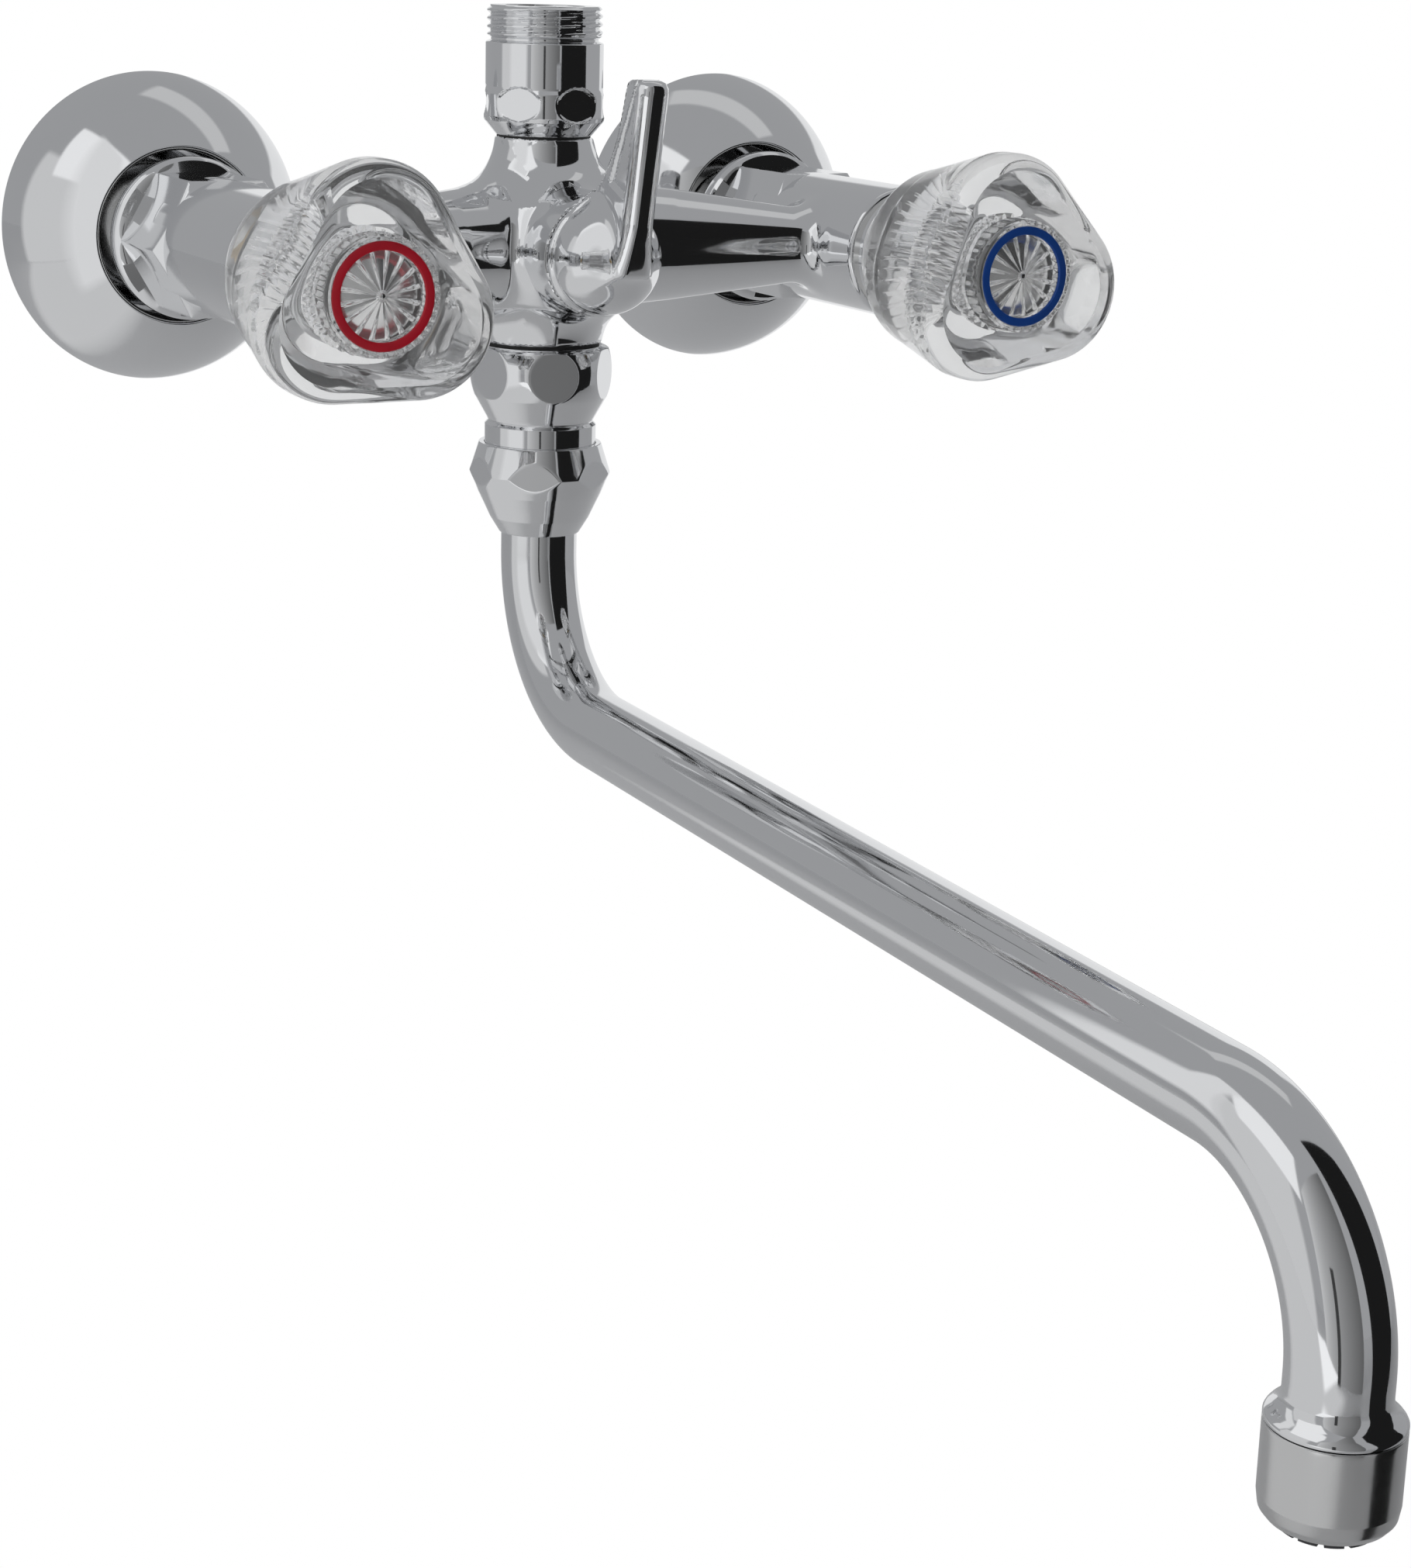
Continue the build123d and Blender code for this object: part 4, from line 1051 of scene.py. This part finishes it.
class MIXER_OT_lever(bpy.types.Operator):
    """Grows the diverter lever's hub and its tapered upright blade."""

    bl_idname = "mixer.lever"
    bl_label = "Diverter lever"

    def execute(self, context):
        # Distance from the hub's back and height of each end, and the radii there
        seed = (
            ((0, 0), (6, 0), 13.1, 12.2),
            ((6, 0), (15, 0), 12.2, 3.0),
            ((10, 0), (22.5, 38), 5.0, 3.2),
            ((5, 8), (20.5, 37.5), 3.0, 2.6),
            ((15.5, -1), (24, 37.5), 3.0, 2.8),
        )
        ends = [[(0, -LEVER_BACK - out, up) for out, up in part[:2]] + list(part[2:]) for part in seed]
        socket = rods("shaft_socket", [level(0, LEVER_BACK - 1, LEVER_BACK + 10, 5.05)])
        grown("lever_cast", "lever", lever_distance, rods("lever_seed", ends), 0.55, "lever", [socket])
        return {"FINISHED"}


def lobed(angle, side, lobe, turn):
    """The radius of a triangle with round corners, its first lobe turned from the top."""
    reach = 2 * (lobe - side)
    corner = lobe - reach
    third = pi / 3
    local = np.abs((angle - radians(turn) - pi / 2 + third) % (2 * third) - third)
    limit = np.arctan2(corner * sin(third), reach + corner * 0.5)
    on_lobe = reach * np.cos(local) + np.sqrt(np.maximum(corner**2 - (reach * np.sin(local)) ** 2, 0))
    return np.where(local < limit, on_lobe, side / np.cos(third - local))


class MIXER_OT_knobs(bpy.types.Operator):
    """Moulds the two crystal knobs with their fluted inserts, caps, rings and star discs."""

    bl_idname = "mixer.knobs"
    bl_label = "Crystal knobs"

    def execute(self, context):
        for side in SIDES:
            place = outward(f"{side}_escutcheon")
            for make in (self.crystal, self.insert, self.cap, self.star):
                make(side, f"{side}_knob", place)
        return {"FINISHED"}

    def crystal(self, side, body, place):
        """The clear knob: round behind, three-lobed in front, with a dished face."""
        node = f"{side}_crystal_knob"
        back = -high(node, 1)
        angle = np.linspace(0, 2 * pi, 288, endpoint=False)
        turn = KNOB_TURN[side]
        flute = KNOB_BORE + 1.3 * waves(angle, KNOB_FLUTES) ** 0.8
        # Radius and distance from the back, down the bore and over the back
        bore = [
            (KNOB_BORE, 27.0), (KNOB_BORE, 26.6), (flute, 26.2), (flute, 21.4), (11.9, 21.0), (11.9, 20.4),
            (flute, 20.0), (flute, 14.4), (KNOB_BORE, 14.0), (KNOB_BORE, 0.3), (12.1, 0.0), (14.0, 0.0),
            (17.0, 0.0), (KNOB_REAR - 1.0, 0.0), (KNOB_REAR - 0.3, 0.2),
        ]
        rings = [(radius, back + out) for radius, out in bore]
        widest, shoulder, round_over, round_depth = 27.0, 31.0, 3.5, 3.8
        for out in np.linspace(0.6, shoulder, 60):
            flare = portion(out, widest)
            flare = flare**1.15 * (1.15 - 0.15 * flare)
            near = KNOB_REAR + (KNOB_SIDE - KNOB_REAR) * flare
            rings.append((lobed(angle, near, KNOB_REAR + (KNOB_LOBE - KNOB_REAR) * flare, turn), back + out))
        for bend in np.linspace(0, pi / 2, 14)[1:]:
            shrink = round_over * (1 - cos(bend))
            radius = lobed(angle, KNOB_SIDE - shrink, KNOB_LOBE - shrink, turn)
            rings.append((radius, back + shoulder + round_depth * sin(bend)))
        rim, dish = rings[-1][0], 13.2
        for share in np.linspace(0, 1, 24)[1:]:
            radius = rim * (1 - share) + dish * share
            fall = 4.3 * (1 - (1 - share) ** 1.6) * np.clip((rim - dish) / 8.0, 0.25, 1.1) ** 0.6
            rings.append((radius, back + shoulder + round_depth - fall))
        rings.append((12.6, rings[-1][1] - 0.1))
        rings += [(12.35, back + KNOB_LENGTH - 5.0), (12.3, back + widest)]
        ringed(f"{side}_crystal", place(around(rings, angle)), body, "clear_acrylic", node)

    def insert(self, side, body, place):
        """The plated insert: a plain skirt and a row of flutes, seen through the crystal."""
        node = f"{side}_knob_insert"
        back, front = depths(node)
        step = back + 13.5
        corners = [
            (4.1, back), (11.2, back), (11.7, back + 0.6, 0.3), (11.7, step, 0.3), (9.6, step + 0.5, 0.3),
            (10.6, step + 1.0, 0.2), (10.6, front - 0.6, 0.3), (9.8, front), (4.7, front),
            (4.7, front - 3.0), (4.1, front - 3.0),
        ]

        def fluted(angle, radius, height):
            depth = 0.9 * portion(height - step - 0.6, 0.4) * portion(front - 0.3 - height, 0.4)
            ridge = (1 - waves(angle, INSERT_FLUTES)) ** 0.6
            return np.where(radius > 9.0, radius - depth * (1 - ridge), radius)

        name = f"{side}_fluted_insert"
        turned(name, node, corners, place, body, shape=fluted, step=0.8, segments=384)

    def cap(self, side, body, place):
        """The clear cap with its beaded edge and its coloured ring."""
        node = f"{side}_index_cap"
        back, front = depths(node)
        corners = [
            (0.0, front - 0.75), (11.0, front - 0.75), (11.0, front, 0.1), (11.7, front, 0.3),
            (12.2, front - 0.5, 0.3), (12.2, back, 0.3), (9.8, back, 0.3), (9.8, front - 4.8), (0.0, front - 4.8),
        ]

        def beaded(angle, radius, height):
            depth = 0.9 * portion(front - 1.4 - height, 0.4)
            return np.where(radius > 10.5, radius - depth * waves(angle, KNOB_FLUTES), radius)

        name = f"{side}_clear_cap"
        turned(name, node, corners, place, body, "clear_acrylic", shape=beaded, step=0.6, segments=320)
        ring_back, ring_front = front - 0.7, front - 0.02
        corners = [(9.03, ring_back), (10.87, ring_back), (10.87, ring_front, 0.3), (9.03, ring_front, 0.3)]
        colour = "red_plastic" if side == "hot" else "blue_plastic"
        turned(f"{side}_mark_ring", f"{side}_index_ring", corners, place, body, colour, edge=0.1)

    def star(self, side, body, place):
        """A bright disc pleated into rays."""
        floor = depths(f"{side}_index_cap")[1] - 0.74
        dip, pleat, ray_width, hub = 0.30, 0.42, 0.16, 3.0
        angle = np.linspace(0, 2 * pi, STAR_RAYS * 16, endpoint=False)
        rib = np.clip(1 - np.abs((angle * STAR_RAYS / (2 * pi)) % 1 - 0.5) / ray_width, 0, 1)
        rings = []
        for reach in np.linspace(STAR_RADIUS, 1.0, 24):
            rings.append((reach, floor - dip * reach + pleat * rib * min(1, reach / hub)))
        back = floor - dip * STAR_RADIUS - 0.3
        rings += [(0.5, floor + 0.1), (0.1, floor + 0.15), (0.1, back), (STAR_RADIUS, back)]
        piece = ringed(f"{side}_star", place(around(rings, angle)), body, "chrome_plate", f"{side}_star_disc")
        paint(piece, "bright_foil")


class MIXER_OT_valve_rings(bpy.types.Operator):
    """Turns the rings between the body's ends and the knobs."""

    bl_idname = "mixer.valve_rings"
    bl_label = "Valve rings"

    def execute(self, context):
        for side in SIDES:
            node = f"{side}_bonnet_shroud"
            start, end = depths(node)
            corners = [
                (7.85, start), (14.2, start, 0.3), (15.0, start + 0.7, 0.3), (15.0, start + 2.2, 0.3),
                (14.2, start + 2.8, 0.2), (14.2, start + 3.5, 0.2), (14.8, start + 4.0, 0.3),
                (13.6, end - 0.4, 0.4), (12.8, end, 0.3), (7.85, end),
            ]
            turned(f"{side}_shroud", node, corners, outward(node), step=0.8)
        return {"FINISHED"}


class MIXER_OT_plain_nodes(bpy.types.Operator):
    """Gives every node that is shown as it is its own finish."""

    bl_idname = "mixer.plain_nodes"
    bl_label = "Inner pieces"

    def execute(self, context):
        slots = {part["node"]: part["material_slot"] for part in frame["record"]["subparts"]}
        for name, node in frame["nodes"].items():
            if not node.hide_render:
                paint(node, slots[name])
        return {"FINISHED"}


# Stage, light and camera

CAMERA_PLACE = (-299.226, -708.026, 69.767)
CAMERA_YAW = radians(28.0386)
CAMERA_PITCH = radians(15.5531)
CAMERA_ROLL = radians(1.5726)
CAMERA_FOCUS = 3926.17
PICTURE_WIDTH = 1820
SENSOR = 36.0
FLOOR_DROP = 330.0
FLOOR_REACH = 6000.0
ROOM_COLOUR = (0.375, 0.38, 0.39, 1)
CARD_COLOUR = (0.985, 0.992, 1.0, 1)

# Cards around the mixer: name, middle, facing, width, height, brightness at each side, soft edge
CARDS = (
    ("card_side", (-210, -120, 80), (1, 0, 0), 170, 420, 0.80, 0.80, 30),
    ("card_window", (-620, -260, 600), (0.70, 0.12, -0.70), 760, 520, 0.95, 0.95, 30),
    ("card_dark", (460, -490, 120), (0, 1, 0), 800, 900, 0.012, 0.012, 0),
    ("card_room", (-420, -800, 0), (0, 1, 0), 960, 1600, 0.13, 0.62, 0),
    ("card_left", (-950, -80, 120), (1, 0, 0), 1000, 1300, 0.66, 0.66, 80),
    ("card_low", (-540, -200, -322), (0, 0, 1), 840, 1100, 0.64, 0.64, 90),
    ("card_glow", (-640, -640, -316), (0, 0, 1), 620, 300, 1.05, 1.05, 40),
    ("card_top", (247, 30, 500), (-0.2, -0.2, -1), 620, 190, 0.60, 0.60, 25),
    ("card_stand", (-310, -740, -380), (0.4, 0.9, 0), 52, 880, 0.05, 0.05, 0),
    ("card_backdrop", (600, 620, -120), (-0.5, -0.85, 0), 1100, 900, 0.85, 0.85, 60),
)
CORNERS = ((-1, -1), (1, -1), (1, 1), (-1, 1))


def sheet(name, corners, surface):
    """A stage piece of one face."""
    mesh = bpy.data.meshes.new(name)
    mesh.from_pydata(corners, [], [(0, 1, 2, 3)])
    mesh.materials.append(surface)
    piece = shown(name, mesh)
    return piece


class MIXER_OT_stage(bpy.types.Operator):
    """Lays the pale floor and sets the studio light and the camera."""

    bl_idname = "mixer.stage"
    bl_label = "Stage"

    def execute(self, context):
        self.floor()
        self.light()
        for card in CARDS:
            self.card(*card)
        self.camera()
        return {"FINISHED"}

    def floor(self):
        """A wide pale floor well below the spout, white to the camera as in the photograph."""
        surface, tree, shader = new_material("studio_floor")
        shader.inputs["Base Color"].default_value = (0.92, 0.92, 0.92, 1)
        link(tree, ramp(tree, noise(tree, 3.0), 0.3, 0.7, 0.75, 0.85), shader.inputs["Roughness"])
        white = tree.nodes.new("ShaderNodeEmission")
        white.inputs["Color"].default_value = (1, 1, 1, 1)
        ray = tree.nodes.new("ShaderNodeLightPath").outputs
        seen = added(tree, ray["Is Camera Ray"], scaled(tree, ray["Is Transmission Ray"], 0.5))
        mixed(tree, "Material", seen, shader.outputs["BSDF"], white.outputs["Emission"])
        sheet("floor", [(x * FLOOR_REACH * MM, y * FLOOR_REACH * MM, -FLOOR_DROP * MM) for x, y in CORNERS], surface)

    def light(self):
        """Grey surroundings, brighter through the crystals and white to the camera."""
        scene = bpy.context.scene
        scene.world = bpy.data.worlds.new("studio")
        scene.world.use_nodes = True
        tree = scene.world.node_tree
        backdrop = tree.nodes["Background"]
        backdrop.inputs["Color"].default_value = (1, 1, 1, 1)
        backdrop.inputs["Strength"].default_value = 1.0
        room = tree.nodes.new("ShaderNodeBackground")
        room.inputs["Color"].default_value = ROOM_COLOUR
        ray = tree.nodes.new("ShaderNodeLightPath").outputs
        link(tree, ramp(tree, ray["Is Transmission Ray"], 0, 1, 1.0, 1.8), room.inputs["Strength"])
        mixed(tree, "World", ray["Is Camera Ray"], room.outputs["Background"], backdrop.outputs["Background"])
        scene.view_settings.view_transform = "Standard"

    def card(self, name, place, facing, width, height, start, end, fade):
        """A glowing card whose light goes from start to end across its width, unseen by the camera."""
        normal = Vector(facing).normalized()
        level = Vector((0, 0, 1)).cross(normal)
        if level.length < 0.1:
            level = Vector((1, 0, 0))
        level.normalize()
        rise = normal.cross(level)
        centre = Vector(place)
        surface, tree, shader = new_material(name)
        tree.nodes.remove(shader)
        glow = tree.nodes.new("ShaderNodeEmission")
        glow.inputs["Color"].default_value = CARD_COLOUR
        where = tree.nodes.new("ShaderNodeTexCoord")
        cover = 1.0
        for direction, size in ((level, width), (rise, height)):
            split = tree.nodes.new("ShaderNodeVectorMath")
            split.operation = "DOT_PRODUCT"
            split.inputs[1].default_value = direction
            link(tree, where.outputs["Object"], split.inputs[0])
            at = centre.dot(direction)
            near, far, inner = (at - size / 2) * MM, (at + size / 2) * MM, fade * MM
            if direction is level:
                link(tree, ramp(tree, split.outputs["Value"], near, far, start, end), glow.inputs["Strength"])
            if fade:
                for rim, soft in ((near, near + inner), (far, far - inner)):
                    cover = scaled(tree, ramp(tree, split.outputs["Value"], rim, soft, 0.0, 1.0), cover)
        clear = tree.nodes.new("ShaderNodeBsdfTransparent")
        if fade:
            mixed(tree, "Material", cover, clear.outputs["BSDF"], glow.outputs["Emission"])
        else:
            link(tree, glow.outputs["Emission"], tree.nodes["Material Output"].inputs["Surface"])
        corners = [(centre + level * (x * width / 2) + rise * (y * height / 2)) * MM for x, y in CORNERS]
        sheet(name, corners, surface).visible_camera = False

    def camera(self):
        """The camera at the photograph's place and angle."""
        ahead = Vector(
            (sin(CAMERA_YAW) * cos(CAMERA_PITCH), cos(CAMERA_YAW) * cos(CAMERA_PITCH), -sin(CAMERA_PITCH))
        )
        level = Vector((cos(CAMERA_YAW), -sin(CAMERA_YAW), 0))
        above = level.cross(ahead)
        right = cos(CAMERA_ROLL) * level + sin(CAMERA_ROLL) * above
        up = -sin(CAMERA_ROLL) * level + cos(CAMERA_ROLL) * above
        lens = bpy.data.cameras.new("camera")
        lens.sensor_fit = "HORIZONTAL"
        lens.sensor_width = SENSOR
        lens.lens = CAMERA_FOCUS * SENSOR / PICTURE_WIDTH
        lens.clip_start = 0.01
        lens.clip_end = 50.0
        camera = shown("camera", lens)
        turn = Matrix((right, up, -ahead)).transposed().to_4x4()
        camera.matrix_world = Matrix.Translation(Vector(CAMERA_PLACE) * MM) @ turn
        bpy.context.scene.camera = camera


OPERATORS = (
    MIXER_OT_stage,
    MIXER_OT_casting,
    MIXER_OT_escutcheons,
    MIXER_OT_union_nuts,
    MIXER_OT_riser,
    MIXER_OT_adaptor,
    MIXER_OT_spout_nut,
    MIXER_OT_spout,
    MIXER_OT_aerator,
    MIXER_OT_lever,
    MIXER_OT_valve_rings,
    MIXER_OT_knobs,
    MIXER_OT_plain_nodes,
)


class MIXER_PT_panel(bpy.types.Panel):
    """Lists the mixer's sizes, finishes and steps."""

    bl_idname = "MIXER_PT_panel"
    bl_label = "Bath Mixer"
    bl_space_type = "VIEW_3D"
    bl_region_type = "UI"
    bl_category = "Bath Mixer"

    def draw(self, context):
        for values in (context.scene.mixer_sizes, context.scene.mixer_finish):
            for name in values.bl_rna.properties.keys():
                if name not in ("rna_type", "name"):
                    self.layout.prop(values, name)
        for step in OPERATORS:
            self.layout.operator(step.bl_idname)


CLASSES = (MixerSizes, MixerFinish, *OPERATORS, MIXER_PT_panel)


def register():
    for item in CLASSES:
        bpy.utils.register_class(item)
    bpy.types.Scene.mixer_sizes = bpy.props.PointerProperty(type=MixerSizes)
    bpy.types.Scene.mixer_finish = bpy.props.PointerProperty(type=MixerFinish)


def unregister():
    del bpy.types.Scene.mixer_finish
    del bpy.types.Scene.mixer_sizes
    for item in reversed(CLASSES):
        bpy.utils.unregister_class(item)


def main():
    """Makes every piece in order."""
    register()
    for step in OPERATORS:
        area, name = step.bl_idname.split(".")
        getattr(getattr(bpy.ops, area), name)()


if __name__ == "__main__":
    main()
